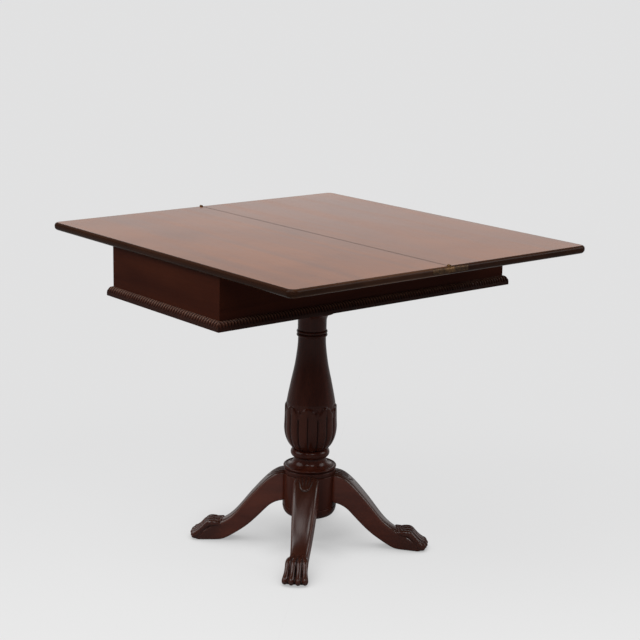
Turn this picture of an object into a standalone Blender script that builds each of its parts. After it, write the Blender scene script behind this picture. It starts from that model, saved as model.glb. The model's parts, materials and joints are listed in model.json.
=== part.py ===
"""Games table with a folding, swivelling top on a turned column and four paw-footed legs.

The top is shown open. X runs across the joint between the leaves, Y runs along it, Z is up.
The origin is on the floor under the column. All sizes are in metres.
"""

from math import asin, cos, pi, radians, sin, sqrt

import bmesh
import bpy
from mathutils import Matrix, Vector

# Fits
FIT_GAP = 0.0003              # between pieces that touch
JOINT_GAP = 0.0006            # between the two leaves when the top is open
OVERCUT = 0.002               # how far a cut runs past the face it opens

# Countersunk screws, as shares of the shank's radius
SCREW_HEAD_RADIUS = 2.0
SCREW_HEAD_DEPTH = 1.4

# Top leaves
TABLE_HEIGHT = 0.750
LEAF_WIDTH = 0.4215           # from the joint to the outer edge
LEAF_LENGTH = 0.912           # along the joint
LEAF_THICKNESS = 0.018
LEAF_CORNER_RADIUS = 0.018
NOSE_RADIUS = 0.0075          # round-over of the upper edge
BEAD_HEIGHT = 0.0042          # bead along the lower edge
QUIRK_WIDTH = 0.0006          # groove above the bead
BEAD_HALF_ANGLE = radians(80)

# Fold hinges, let into both ends of the joint
EYE_RADIUS = 0.0030
EYE_LENGTH = 0.0032
EYE_INSET = 0.0030            # first eye behind the leaf's end
PIN_RADIUS = 0.00125
STRAP_LENGTH = 0.050
STRAP_HEIGHT = 0.011
STRAP_THICKNESS = 0.003
STRAP_DROP = 0.002            # strap below the top face
LUG_LENGTH = 0.0055           # block at the strap's end that carries the eye
LUG_HEIGHT = 0.008
STRAP_SCREW_RADIUS = 0.0013
STRAP_SCREW_LENGTH = 0.014
STRAP_SCREW_FIRST = 0.018     # from the joint to the first screw
STRAP_SCREW_PITCH = 0.022

# Frame under the top
FRAME_LENGTH = 0.820
FRAME_WIDTH = 0.410
APRON_HEIGHT = 0.1135
APRON_THICKNESS = 0.020
MOULDING_HEIGHT = 0.0215
MOULDING_PROJECTION = 0.0105
MOULDING_BAND = 0.0085        # plain band under the rounded part
CORNER_BLOCK = 0.035          # leg of the triangular block
CORNER_BLOCK_DROP = 0.010     # block top below the apron's top
HOUSING_DEPTH = 0.006         # how far rail and bearer enter the long aprons
BEARER_LENGTH = 0.180
BEARER_THICKNESS = 0.024
BEARER_RECESS = 0.006         # bearer above the apron's lower edge
FLOOR_THICKNESS = 0.008
LEDGER_SIZE = 0.015

# Swivel of the top
RAIL_WIDTH = 0.070
RAIL_THICKNESS = 0.024
PLATE_SIZE = 0.064
PLATE_THICKNESS = 0.003
PLATE_SCREW_RADIUS = 0.0020
PLATE_SCREW_LENGTH = 0.012
PLATE_SCREW_INSET = 0.011
BOLT_RADIUS = 0.006
BOLT_HEAD_RADIUS = 0.011
BOLT_HEAD_HEIGHT = 0.004
BOLT_TAIL = 0.002             # bolt below its nut
WASHER_RADIUS = 0.014
WASHER_THICKNESS = 0.002
NUT_RADIUS = 0.011
NUT_HEIGHT = 0.008
PEG_RADIUS = 0.006
PEG_DROP = 0.018              # peg below the leaf
PEG_SEAT = 0.010              # peg inside the leaf

# Column
BLOCK_SIZE = 0.140            # square block between column and bearer
BLOCK_THICKNESS = 0.040
TENON_RADIUS = 0.019
UPPER_TENON_LENGTH = 0.060
LOWER_TENON_LENGTH = 0.050
FLANGE_RADIUS = 0.052
FLANGE_HEIGHT = 0.018
COVE_HEIGHT = 0.020
COLLAR_RADIUS = 0.0335        # under the cove
COLLAR_HEIGHT = 0.021
NECK_RADIUS = 0.0323
NECK_BEAD_RADIUS = 0.0361
NECK_BEAD_HEIGHT = 0.008
SHOULDER_RADIUS = 0.0580      # where the vase meets the carved bulb
BULB_TIP_RADIUS = 0.0612
BULB_RADIUS = 0.0623
BULB_HEIGHT = 0.1035
BULB_FOOT_RADIUS = 0.0421
RING_RADIUS = 0.0460
RING_HEIGHT = 0.021
WAIST_RADIUS = 0.0382
WAIST_HEIGHT = 0.0145
CAP_RADIUS = 0.0626
CAP_TUBE_RADIUS = 0.010
CAP_RIM_HEIGHT = 0.003
CAP_GROOVE_RADIUS = 0.0580
CAP_GROOVE_HEIGHT = 0.0012

# Curves of the column: share of the height run down, and share of the swell or of the fall
VASE_CURVE = ((0.0, 0.0), (0.16, 0.05), (0.42, 0.27), (0.67, 0.60), (0.86, 0.84), (1.0, 1.0))
BULB_SIDE = ((0.08, 0.0), (0.34, 0.5), (0.52, 1.0))
BULB_UNDERSIDE = ((0.70, 0.87), (0.845, 0.58), (0.94, 0.26), (1.0, 0.0))

# Hub and its base disc
HUB_RADIUS = 0.063
HUB_BOTTOM = 0.100
HUB_HEIGHT = 0.078
BASE_HEIGHT = 0.024
BASE_FOOT_RADIUS = 0.050
BASE_SCREW_RADIUS = 0.0025
BASE_SCREW_LENGTH = 0.045
BASE_SCREW_CIRCLE = 0.040     # radius of the ring of screws

# Legs
LEG_ANGLES = {"leg_back": 45, "leg_left": 135, "leg_front": 225, "leg_right": 315}
TONGUE_DEPTH = 0.016
TONGUE_NECK = 0.016           # dovetail width at the hub's face
TONGUE_END = 0.022            # dovetail width at its end
TONGUE_TOP = 0.170
LEG_CROWN = 0.0020            # how far the top of a leg is crowned
LEG_ARRIS = 0.0040            # how far its upper edges are rounded away
LEG_ARRIS_POWER = 8           # higher keeps the rounding nearer the edges
SOLE_SPREAD = (0.96, 0.5, 0.0, -0.5, -0.96)   # points across the sole, as shares of half the width
GROOVE_LIMIT = 0.8            # the deepest cut from above, as a share of the section's height
TOE_COUNT = 4
TOE_GROOVE = 0.0050           # depth of the grooves between the toes
TOE_STEP = 0.0060             # how far the grooves run back from the toe tips
TOE_ARC = 0.0040              # how far the outer toes stand back

# Sections of a leg from the hub to the toes: distance out from the hub's side and height
# of the upper edge, the same for the lower edge, half the width, and how much toe shows.
LEG_SECTIONS = (
    (-0.010, 0.1855, -0.010, 0.1115, 0.0292, 0.0),
    (0.015, 0.1795, 0.011, 0.1072, 0.0290, 0.0),
    (0.037, 0.1635, 0.029, 0.0970, 0.0284, 0.0),
    (0.059, 0.1405, 0.047, 0.0780, 0.0272, 0.0),
    (0.082, 0.1140, 0.064, 0.0595, 0.0255, 0.0),
    (0.104, 0.0845, 0.0855, 0.0383, 0.0233, 0.0),
    (0.124, 0.0620, 0.109, 0.0215, 0.0213, 0.0),
    (0.143, 0.0485, 0.131, 0.0070, 0.0204, 0.1),
    (0.158, 0.0458, 0.145, 0.0, 0.0222, 0.5),
    (0.171, 0.0492, 0.168, 0.0, 0.0256, 1.0),
    (0.183, 0.0488, 0.180, 0.0, 0.0274, 1.0),
    (0.194, 0.0380, 0.191, 0.0, 0.0288, 1.0),
    (0.205, 0.0265, 0.202, 0.0, 0.0300, 1.0),
    (0.217, 0.0160, 0.213, 0.0, 0.0306, 1.0),
    (0.222, 0.0080, 0.218, 0.0020, 0.0296, 1.0),
)
LEG_STEPS = 2                 # sections made between two given ones

# Facets
ROUND_STEPS = 32
SMALL_STEPS = 12
ARC_STEPS = 4
SMOOTH_ANGLE = radians(35)

# Heights and places worked out from the sizes above
leaf_bottom = TABLE_HEIGHT - LEAF_THICKNESS
hinge_height = TABLE_HEIGHT + JOINT_GAP / 2   # so the folded leaves keep the joint's gap between them
knuckle_depth = EYE_INSET + 2 * EYE_LENGTH + FIT_GAP
apron_top = leaf_bottom - FIT_GAP
apron_bottom = apron_top - APRON_HEIGHT
inner_half_length = FRAME_LENGTH / 2 - APRON_THICKNESS
inner_half_width = FRAME_WIDTH / 2 - APRON_THICKNESS
bearer_bottom = apron_bottom + BEARER_RECESS
bearer_top = bearer_bottom + BEARER_THICKNESS
floor_bottom = bearer_top + FIT_GAP
floor_top = floor_bottom + FLOOR_THICKNESS
block_top = bearer_bottom - FIT_GAP
block_bottom = block_top - BLOCK_THICKNESS
column_top = block_bottom - FIT_GAP
hub_top = HUB_BOTTOM + HUB_HEIGHT
column_bottom = hub_top + FIT_GAP
rail_bottom = apron_top - RAIL_THICKNESS
plate_top = leaf_bottom + PLATE_THICKNESS
bolt_head_bottom = plate_top + FIT_GAP
bolt_head_top = bolt_head_bottom + BOLT_HEAD_HEIGHT
washer_top = rail_bottom - FIT_GAP
washer_bottom = washer_top - WASHER_THICKNESS
nut_top = washer_bottom - FIT_GAP
nut_bottom = nut_top - NUT_HEIGHT

# The pivot lies a quarter of the leaf's width from both centre lines, so that a quarter turn
# brings the lower leaf from one side of the joint to the middle of the frame.
pivot = Vector((-LEAF_WIDTH / 4, -LEAF_WIDTH / 4, leaf_bottom))


# Scene and object helpers

def clear_scene():
    for old in list(bpy.data.objects):
        bpy.data.objects.remove(old, do_unlink=True)


def make_material(name, colour, roughness, metallic=0.0):
    material = bpy.data.materials.new(name)
    material.use_nodes = True
    shader = material.node_tree.nodes["Principled BSDF"]
    shader.inputs["Base Color"].default_value = (*colour, 1.0)
    shader.inputs["Roughness"].default_value = roughness
    shader.inputs["Metallic"].default_value = metallic
    return material


def make_axis(name, place, parent=None):
    """An empty on a joint's axis; pieces that turn about it are its children."""
    axis = bpy.data.objects.new(name, None)
    bpy.context.collection.objects.link(axis)
    axis.parent = parent
    axis["place"] = tuple(place)
    axis.location = place - Vector(parent["place"]) if parent else place
    return axis


def make_object(name, bm, material=None, axis=None):
    """Turn a bmesh in world coordinates into an object, on a joint's axis if it has one."""
    bmesh.ops.recalc_face_normals(bm, faces=bm.faces)
    mesh = bpy.data.meshes.new(name)
    bm.to_mesh(mesh)
    bm.free()
    mesh.shade_smooth()
    mesh.set_sharp_from_angle(angle=SMOOTH_ANGLE)
    solid = bpy.data.objects.new(name, mesh)
    bpy.context.collection.objects.link(solid)
    if material:
        mesh.materials.append(material)
    if axis:
        mesh.transform(Matrix.Translation(-Vector(axis["place"])))
        solid.parent = axis
    return solid


def make_cutter(name, bm):
    cutter = make_object(name, bm)
    cutter.hide_render = True
    cutter.display_type = "WIRE"
    return cutter


def combine(solid, tool, operation="DIFFERENCE"):
    modifier = solid.modifiers.new(tool.name, "BOOLEAN")
    modifier.operation = operation
    modifier.solver = "EXACT"
    modifier.object = tool


# Shape helpers

def loft(rings):
    """A closed body through rings of points, each ring with the same number of points."""
    bm = bmesh.new()
    rows = [[bm.verts.new(point) for point in ring] for ring in rings]
    count = len(rows[0])
    for low, high in zip(rows, rows[1:]):
        for i in range(count):
            j = (i + 1) % count
            bm.faces.new((low[i], low[j], high[j], high[i]))
    bm.faces.new(rows[0])
    bm.faces.new(rows[-1])
    return bm


def box(low, high):
    corners = ((0, 0), (1, 0), (1, 1), (0, 1))
    ends = (low, high)
    return loft([[(ends[i][0], ends[j][1], z) for i, j in corners] for z in (low[2], high[2])])


def prism_y(outline, y_low, y_high):
    """A prism along Y from an outline of (x, z) points."""
    return loft([[(x, y, z) for x, z in outline] for y in (y_low, y_high)])


def turn(profile, steps=ROUND_STEPS, closed=False):
    """A turned body from (radius, height) points, run from top to bottom."""
    bm = bmesh.new()
    verts = [bm.verts.new((radius, 0, height)) for radius, height in profile]
    edges = [bm.edges.new(pair) for pair in zip(verts, verts[1:])]
    if closed:
        edges.append(bm.edges.new((verts[-1], verts[0])))
    bmesh.ops.spin(bm, geom=verts + edges, cent=(0, 0, 0), axis=(0, 0, 1), angle=2 * pi, steps=steps,
                   use_merge=True)
    bmesh.ops.remove_doubles(bm, verts=bm.verts, dist=1e-6)
    return bm


def rod(radius, bottom, top, steps=SMALL_STEPS):
    return turn([(0, top), (radius, top), (radius, bottom), (0, bottom)], steps)


def add_copies(shape, places):
    """One bmesh that holds a copy of a shape at each place."""
    mesh = bpy.data.meshes.new("copy")
    shape.to_mesh(mesh)
    shape.free()
    bm = bmesh.new()
    for place in places:
        copy = mesh.copy()
        copy.transform(place)
        bm.from_mesh(copy)
        bpy.data.meshes.remove(copy)
    bpy.data.meshes.remove(mesh)
    return bm


def arc(centre, radius, start, end, steps=ARC_STEPS):
    """Points on an arc; the angles are in degrees and the radius may be a pair."""
    radius_a, radius_b = radius if isinstance(radius, tuple) else (radius, radius)
    points = []
    for i in range(steps + 1):
        angle = radians(start + (end - start) * i / steps)
        points.append((centre[0] + radius_a * cos(angle), centre[1] + radius_b * sin(angle)))
    return points


def smooth(points, steps):
    """A smooth run through all the points, with some steps between each two."""
    path = [Vector(point) for point in points]
    ends = [2 * path[0] - path[1]] + path + [2 * path[-1] - path[-2]]
    run = [path[0]]
    for before, start, end, after in zip(ends, ends[1:], ends[2:], ends[3:]):
        for i in range(1, steps + 1):
            t = i / steps
            slope_in = (end - before) / 2
            slope_out = (after - start) / 2
            run.append((2 * t**3 - 3 * t**2 + 1) * start + (t**3 - 2 * t**2 + t) * slope_in
                       + (3 * t**2 - 2 * t**3) * end + (t**3 - t**2) * slope_out)
    return run


def screw_profile(radius, length, grow=0.0):
    """A countersunk screw with its head's face at height 0 and its point below."""
    head = SCREW_HEAD_RADIUS * radius
    head_depth = SCREW_HEAD_DEPTH * radius
    top = OVERCUT if grow else 0.0
    return [(0, top), (head + grow, top), (head + grow, 0), (radius + grow, -head_depth),
            (radius + grow, -length - grow), (0, -length - grow)]


def make_screws(name, radius, length, places, material, axis=None):
    """A screw at each place, and one cutter that makes all the holes they sit in."""
    for number, place in enumerate(places, 1):
        screw = add_copies(turn(screw_profile(radius, length), SMALL_STEPS), [place])
        make_object("%s_%d" % (name, number), screw, material, axis)
    holes = add_copies(turn(screw_profile(radius, length, FIT_GAP), SMALL_STEPS), places)
    return make_cutter(name + "_holes", holes)


def facing(direction, place):
    """A placement whose local Z points along a direction."""
    turned = Vector((0, 0, 1)).rotation_difference(Vector(direction)).to_matrix().to_4x4()
    return Matrix.Translation(place) @ turned


# Top leaves

def edge_inset(height):
    """How far the moulded edge lies inside the leaf's outline at a height above its underside."""
    nose_start = LEAF_THICKNESS - NOSE_RADIUS
    bead_radius = BEAD_HEIGHT / 2
    if height <= BEAD_HEIGHT:
        angle = asin((height / bead_radius - 1) * sin(BEAD_HALF_ANGLE))
        return bead_radius * (1 - cos(angle))
    if height <= BEAD_HEIGHT + QUIRK_WIDTH:
        return bead_radius * (1 - cos(BEAD_HALF_ANGLE))
    if height <= nose_start:
        return 0.0
    return NOSE_RADIUS - sqrt(max(0.0, NOSE_RADIUS**2 - (height - nose_start)**2))


def leaf_heights():
    bead_radius = BEAD_HEIGHT / 2
    heights = {LEAF_THICKNESS, LEAF_THICKNESS - NOSE_RADIUS}
    for step in range(-2, 3):
        heights.add(bead_radius * (1 + sin(BEAD_HALF_ANGLE * step / 2) / sin(BEAD_HALF_ANGLE)))
    heights.add(BEAD_HEIGHT + QUIRK_WIDTH)
    heights.add(BEAD_HEIGHT + 2 * QUIRK_WIDTH)
    for angle in (radians(30), radians(60)):
        heights.add(LEAF_THICKNESS - NOSE_RADIUS * (1 - sin(angle)))
    return sorted(heights)


def leaf_ring(side, height):
    inset = edge_inset(height)
    joint = JOINT_GAP / 2
    half = LEAF_LENGTH / 2
    radius = LEAF_CORNER_RADIUS - inset
    corner_x = LEAF_WIDTH - LEAF_CORNER_RADIUS
    corner_y = half - LEAF_CORNER_RADIUS
    outline = [(joint, -half + inset)]
    outline += arc((corner_x, -corner_y), radius, -90, 0)
    outline += arc((corner_x, corner_y), radius, 0, 90)
    outline.append((joint, half - inset))
    return [(side * x, y, leaf_bottom + height) for x, y in outline]


def leaf_blank(side):
    return loft([leaf_ring(side, height) for height in leaf_heights()])


# Fold hinges

def strap_plate(side, end, grow=0.0):
    """The flat part of a strap, before it is cut to the leaf's moulded edge."""
    top = TABLE_HEIGHT - STRAP_DROP
    xs = sorted((-side * OVERCUT, side * (STRAP_LENGTH + grow)))
    ys = sorted((end * (LEAF_LENGTH / 2 + OVERCUT), end * (LEAF_LENGTH / 2 - STRAP_THICKNESS - grow)))
    return box((xs[0], ys[0], top - STRAP_HEIGHT - grow), (xs[1], ys[1], top + grow))


def strap_lug(side, end, depth, grow=0.0):
    """The block at the strap's joint end that carries the eye."""
    xs = sorted((-2 * side * OVERCUT, side * (LUG_LENGTH + grow)))
    ys = sorted((end * (LEAF_LENGTH + OVERCUT) / 2, end * (LEAF_LENGTH / 2 - depth - grow)))
    return box((xs[0], ys[0], TABLE_HEIGHT - LUG_HEIGHT - grow), (xs[1], ys[1], TABLE_HEIGHT + 2 * OVERCUT))


def hinge_rod(end, radius, start, stop):
    """A rod on the hinge's axis, from one depth to another behind the leaf's end."""
    steps = ROUND_STEPS // 2
    outline = arc((0, hinge_height), radius, 0, 360, steps)[:-1]
    return prism_y(outline, end * (LEAF_LENGTH / 2 - start), end * (LEAF_LENGTH / 2 - stop))


def strap_screw_places(side, end):
    height = TABLE_HEIGHT - STRAP_DROP - STRAP_HEIGHT / 2
    face = LEAF_LENGTH / 2 - FIT_GAP
    return [facing((0, end, 0), (side * (STRAP_SCREW_FIRST + i * STRAP_SCREW_PITCH), end * face, height))
            for i in range(2)]


def make_hinge_half(leaf, which, side, brass, axis):
    """The straps and screws of one leaf, with the recesses they are let into."""
    blank = make_cutter(which + "_blank", leaf_blank(side))
    eye_start = EYE_INSET if which == "upper" else knuckle_depth - EYE_LENGTH
    eye_stop = eye_start + EYE_LENGTH
    for end, end_name in ((-1, "front"), (1, "back")):
        place = "%s_%s" % (which, end_name)
        screw_holes = make_screws("hinge_screw_" + place, STRAP_SCREW_RADIUS, STRAP_SCREW_LENGTH,
                                  strap_screw_places(side, end), brass, axis)
        strap = make_object("hinge_strap_" + place, strap_plate(side, end), brass, axis)
        combine(strap, make_cutter("strap_lug_" + place, strap_lug(side, end, eye_stop)), "UNION")
        combine(strap, blank, "INTERSECT")
        if which == "lower":
            room = hinge_rod(end, EYE_RADIUS + FIT_GAP, -OVERCUT, eye_start + FIT_GAP / 2)
            combine(strap, make_cutter("eye_room_" + place, room))
        eye = hinge_rod(end, EYE_RADIUS, eye_start, eye_stop)
        combine(strap, make_cutter("strap_eye_" + place, eye), "UNION")
        pin_hole = hinge_rod(end, PIN_RADIUS + FIT_GAP, -OVERCUT, knuckle_depth + OVERCUT)
        combine(strap, make_cutter("pin_hole_" + place, pin_hole))
        combine(strap, screw_holes)

        knuckle_room = hinge_rod(end, EYE_RADIUS + FIT_GAP, -OVERCUT, knuckle_depth + FIT_GAP)
        combine(leaf, screw_holes)
        combine(leaf, make_cutter("strap_recess_" + place, strap_plate(side, end, FIT_GAP)))
        combine(leaf, make_cutter("lug_recess_" + place, strap_lug(side, end, eye_stop, FIT_GAP)))
        combine(leaf, make_cutter("knuckle_room_" + place, knuckle_room))


def make_hinge_pins(brass, axis):
    for end, end_name in ((-1, "front"), (1, "back")):
        pin = hinge_rod(end, PIN_RADIUS, EYE_INSET, knuckle_depth)
        make_object("hinge_pin_" + end_name, pin, brass, axis)


# Frame

def frame_bar(side, profile):
    """A bar along one side of the frame with mitred ends; the profile is (outward, height) points."""
    half_length = FRAME_LENGTH / 2
    half_width = FRAME_WIDTH / 2
    rings = []
    for end in (-1, 1):
        ring = []
        for out, height in profile:
            if side in ("front", "back"):
                across = half_width + out
                along = end * (half_length + out - FIT_GAP)
                ring.append((along, across if side == "back" else -across, height))
            else:
                across = half_length + out
                along = end * (half_width + out - FIT_GAP)
                ring.append((across if side == "right" else -across, along, height))
        rings.append(ring)
    return loft(rings)


def apron_profile():
    back = -APRON_THICKNESS
    return [(back, apron_bottom), (0, apron_bottom), (0, apron_top), (back, apron_top)]


def moulding_profile():
    """A plain band below and a quarter round above."""
    back = FIT_GAP
    face = back + MOULDING_PROJECTION
    band_top = apron_bottom + MOULDING_BAND
    round_height = MOULDING_HEIGHT - MOULDING_BAND
    top = arc((back, band_top), (MOULDING_PROJECTION, round_height), 0, 90)
    return [(back, apron_bottom), (face, apron_bottom)] + top


def make_frame(wood, inner_wood):
    """The box under the top, with its rail, bearer and floor; gives the hole for the column's tenon."""
    aprons = {}
    for side in ("front", "back", "left", "right"):
        aprons[side] = make_object(side + "_apron", frame_bar(side, apron_profile()), wood)
        make_object(side + "_moulding", frame_bar(side, moulding_profile()), wood)

    reach = inner_half_width + HOUSING_DEPTH
    rail = make_object("pivot_rail", box((pivot.x - RAIL_WIDTH / 2, -reach + FIT_GAP, rail_bottom),
                                         (pivot.x + RAIL_WIDTH / 2, reach - FIT_GAP, apron_top)), inner_wood)
    hole = rod(BOLT_RADIUS + FIT_GAP, rail_bottom - OVERCUT, apron_top + OVERCUT, ROUND_STEPS // 2)
    bmesh.ops.translate(hole, verts=hole.verts, vec=(pivot.x, pivot.y, 0))
    combine(rail, make_cutter("rail_hole", hole))

    bearer = make_object("column_bearer", box((-BEARER_LENGTH / 2, -reach + FIT_GAP, bearer_bottom),
                                              (BEARER_LENGTH / 2, reach - FIT_GAP, bearer_top)), inner_wood)
    tenon_hole = rod(TENON_RADIUS + FIT_GAP, block_bottom - OVERCUT, bearer_top + OVERCUT, ROUND_STEPS)
    tenon_cutter = make_cutter("tenon_hole", tenon_hole)
    combine(bearer, tenon_cutter)

    # The rail is let in from above and the bearer from below.
    housings = make_cutter("rail_housing", box(
        (pivot.x - RAIL_WIDTH / 2 - FIT_GAP, -reach, rail_bottom - FIT_GAP),
        (pivot.x + RAIL_WIDTH / 2 + FIT_GAP, reach, apron_top + OVERCUT)))
    slots = make_cutter("bearer_housing", box(
        (-BEARER_LENGTH / 2 - FIT_GAP, -reach, apron_bottom - OVERCUT),
        (BEARER_LENGTH / 2 + FIT_GAP, reach, bearer_top + FIT_GAP)))
    for side in ("front", "back"):
        combine(aprons[side], housings)
        combine(aprons[side], slots)

    half_x = inner_half_length - FIT_GAP
    half_y = inner_half_width - FIT_GAP
    make_object("well_floor", box((-half_x, -half_y, floor_bottom), (half_x, half_y, floor_top)), inner_wood)
    ledger_top = floor_bottom - FIT_GAP
    for name, x_low in (("left_ledger", -half_x), ("right_ledger", half_x - LEDGER_SIZE)):
        make_object(name, box((x_low, -half_y, ledger_top - LEDGER_SIZE),
                              (x_low + LEDGER_SIZE, half_y, ledger_top)), inner_wood)

    for x_sign, x_name in ((-1, "left"), (1, "right")):
        for y_sign, y_name in ((-1, "front"), (1, "back")):
            outline = ((half_x, half_y), (half_x - CORNER_BLOCK, half_y), (half_x, half_y - CORNER_BLOCK))
            heights = (floor_top + FIT_GAP, apron_top - CORNER_BLOCK_DROP)
            rings = [[(x_sign * x, y_sign * y, height) for x, y in outline] for height in heights]
            make_object("corner_block_%s_%s" % (y_name, x_name), loft(rings), inner_wood)
    return tenon_cutter


# Swivel

def make_swivel(leaf, iron, brass, inner_wood, axis):
    """The plate, bolt, washer, nut and stop peg that turn with the lower leaf."""
    half = PLATE_SIZE / 2
    plate = make_object("pivot_plate", box((pivot.x - half, pivot.y - half, leaf_bottom),
                                           (pivot.x + half, pivot.y + half, plate_top)), iron, axis)
    grown = half + FIT_GAP
    combine(leaf, make_cutter("plate_recess", box(
        (pivot.x - grown, pivot.y - grown, leaf_bottom - OVERCUT),
        (pivot.x + grown, pivot.y + grown, bolt_head_bottom))))

    inset = half - PLATE_SCREW_INSET
    places = [facing((0, 0, -1), (pivot.x + i * inset, pivot.y + j * inset, leaf_bottom))
              for i in (-1, 1) for j in (-1, 1)]
    holes = make_screws("pivot_plate_screw", PLATE_SCREW_RADIUS, PLATE_SCREW_LENGTH, places, iron, axis)
    combine(plate, holes)
    combine(leaf, holes)

    steps = ROUND_STEPS // 2
    bolt_end = nut_bottom - BOLT_TAIL
    bolt = turn([(0, bolt_head_top), (BOLT_HEAD_RADIUS, bolt_head_top), (BOLT_HEAD_RADIUS, bolt_head_bottom),
                 (BOLT_RADIUS, bolt_head_bottom), (BOLT_RADIUS, bolt_end), (0, bolt_end)], steps)
    head_seat = rod(BOLT_HEAD_RADIUS + FIT_GAP, leaf_bottom, bolt_head_top + FIT_GAP, steps)
    shank_hole = rod(BOLT_RADIUS + FIT_GAP, nut_bottom - OVERCUT, plate_top + OVERCUT, steps)
    hole = BOLT_RADIUS + FIT_GAP
    washer = turn([(hole, washer_top), (WASHER_RADIUS, washer_top), (WASHER_RADIUS, washer_bottom),
                   (hole, washer_bottom)], steps, closed=True)
    nut = rod(NUT_RADIUS, nut_bottom, nut_top, 6)
    for shape in (bolt, head_seat, shank_hole, washer, nut):
        bmesh.ops.translate(shape, verts=shape.verts, vec=(pivot.x, pivot.y, 0))
    shank_cutter = make_cutter("shank_hole", shank_hole)
    make_object("pivot_bolt", bolt, iron, axis)
    make_object("pivot_washer", washer, brass, axis)
    combine(make_object("pivot_nut", nut, iron, axis), shank_cutter)
    combine(plate, shank_cutter)
    combine(leaf, make_cutter("bolt_head_seat", head_seat))

    # The peg meets the rail's side at both ends of the quarter turn.
    reach = RAIL_WIDTH / 2 + PEG_RADIUS + FIT_GAP
    peg_spot = Matrix.Translation((pivot.x + reach, pivot.y + reach, 0))
    peg = add_copies(rod(PEG_RADIUS, leaf_bottom - PEG_DROP, leaf_bottom + PEG_SEAT, steps), [peg_spot])
    seat = rod(PEG_RADIUS + FIT_GAP, leaf_bottom - OVERCUT, leaf_bottom + PEG_SEAT + FIT_GAP, steps)
    make_object("swivel_stop_peg", peg, inner_wood, axis)
    combine(leaf, make_cutter("peg_seat", add_copies(seat, [peg_spot])))


# Column

def bead(radius, foot_radius, top, height):
    """A half-round ring that stands out from a foot radius, run from top to bottom."""
    return arc((foot_radius, top - height / 2), (radius - foot_radius, height / 2), 90, -90)


def column_profile():
    tenon_top = column_top + UPPER_TENON_LENGTH
    profile = [(0, tenon_top), (TENON_RADIUS, tenon_top), (TENON_RADIUS, column_top)]

    # Flange and the cove under it
    cove_top = column_top - FLANGE_HEIGHT
    cove_bottom = cove_top - COVE_HEIGHT
    profile += [(FLANGE_RADIUS, column_top)]
    profile += arc((FLANGE_RADIUS, cove_bottom), (FLANGE_RADIUS - COLLAR_RADIUS, COVE_HEIGHT), 90, 180, 5)

    # Collar and its two beads
    bead_top = cove_bottom - COLLAR_HEIGHT
    for i in range(2):
        profile += bead(NECK_BEAD_RADIUS, NECK_RADIUS, bead_top - i * NECK_BEAD_HEIGHT, NECK_BEAD_HEIGHT)
    vase_top = bead_top - 2 * NECK_BEAD_HEIGHT

    # Heights counted up from the hub
    waist_bottom = column_bottom + CAP_RIM_HEIGHT + CAP_GROOVE_HEIGHT + 2 * CAP_TUBE_RADIUS
    waist_top = waist_bottom + WAIST_HEIGHT
    ring_top = waist_top + RING_HEIGHT
    bulb_top = ring_top + BULB_HEIGHT

    # Vase, which takes up what height is left
    vase_run = vase_top - bulb_top
    swell = SHOULDER_RADIUS - NECK_RADIUS
    vase = [(NECK_RADIUS + swell * out, vase_top - vase_run * down) for down, out in VASE_CURVE]
    profile += [tuple(point) for point in smooth(vase, 2)]

    # Carved bulb
    belly = BULB_RADIUS - BULB_TIP_RADIUS
    fall = BULB_RADIUS - BULB_FOOT_RADIUS
    points = [(BULB_TIP_RADIUS + belly * out, bulb_top - BULB_HEIGHT * down) for down, out in BULB_SIDE]
    points += [(BULB_FOOT_RADIUS + fall * out, bulb_top - BULB_HEIGHT * down) for down, out in BULB_UNDERSIDE]
    profile += [tuple(point) for point in smooth(points, 2)]

    # Ring, waist and cap
    profile += bead(RING_RADIUS, WAIST_RADIUS, ring_top, RING_HEIGHT)
    cap_centre = CAP_RADIUS - CAP_TUBE_RADIUS
    cap_middle = waist_bottom - CAP_TUBE_RADIUS
    profile += arc((cap_centre, waist_top), (cap_centre - WAIST_RADIUS, WAIST_HEIGHT), 180, 270)
    profile += arc((cap_centre, cap_middle), CAP_TUBE_RADIUS, 70, -60, 6)
    rim_top = column_bottom + CAP_RIM_HEIGHT
    profile += [(CAP_GROOVE_RADIUS, rim_top + CAP_GROOVE_HEIGHT), (CAP_GROOVE_RADIUS, rim_top)]
    profile += [(CAP_RADIUS, rim_top), (CAP_RADIUS, column_bottom), (TENON_RADIUS, column_bottom)]
    tenon_bottom = column_bottom - LOWER_TENON_LENGTH
    return profile + [(TENON_RADIUS, tenon_bottom), (0, tenon_bottom)]


def make_column(wood, inner_wood, tenon_cutter):
    make_object("column", turn(column_profile()), wood)
    half = BLOCK_SIZE / 2
    body = box((-half, -half, block_bottom), (half, half, block_top))
    block = make_object("column_block", body, inner_wood)
    combine(block, tenon_cutter)


# Hub

def tongue_prism(grow, bottom, top, outer):
    """The dovetail of a leg that points along +X."""
    inner = HUB_RADIUS - TONGUE_DEPTH - grow
    slope = (TONGUE_END - TONGUE_NECK) / 2 / TONGUE_DEPTH
    half_inner = TONGUE_END / 2 + grow
    half_outer = TONGUE_NECK / 2 + grow - slope * (outer - HUB_RADIUS)
    outline = [(inner, -half_inner), (outer, -half_outer), (outer, half_outer), (inner, half_inner)]
    return loft([[(x, y, z) for x, y in outline] for z in (bottom, top)])


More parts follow.
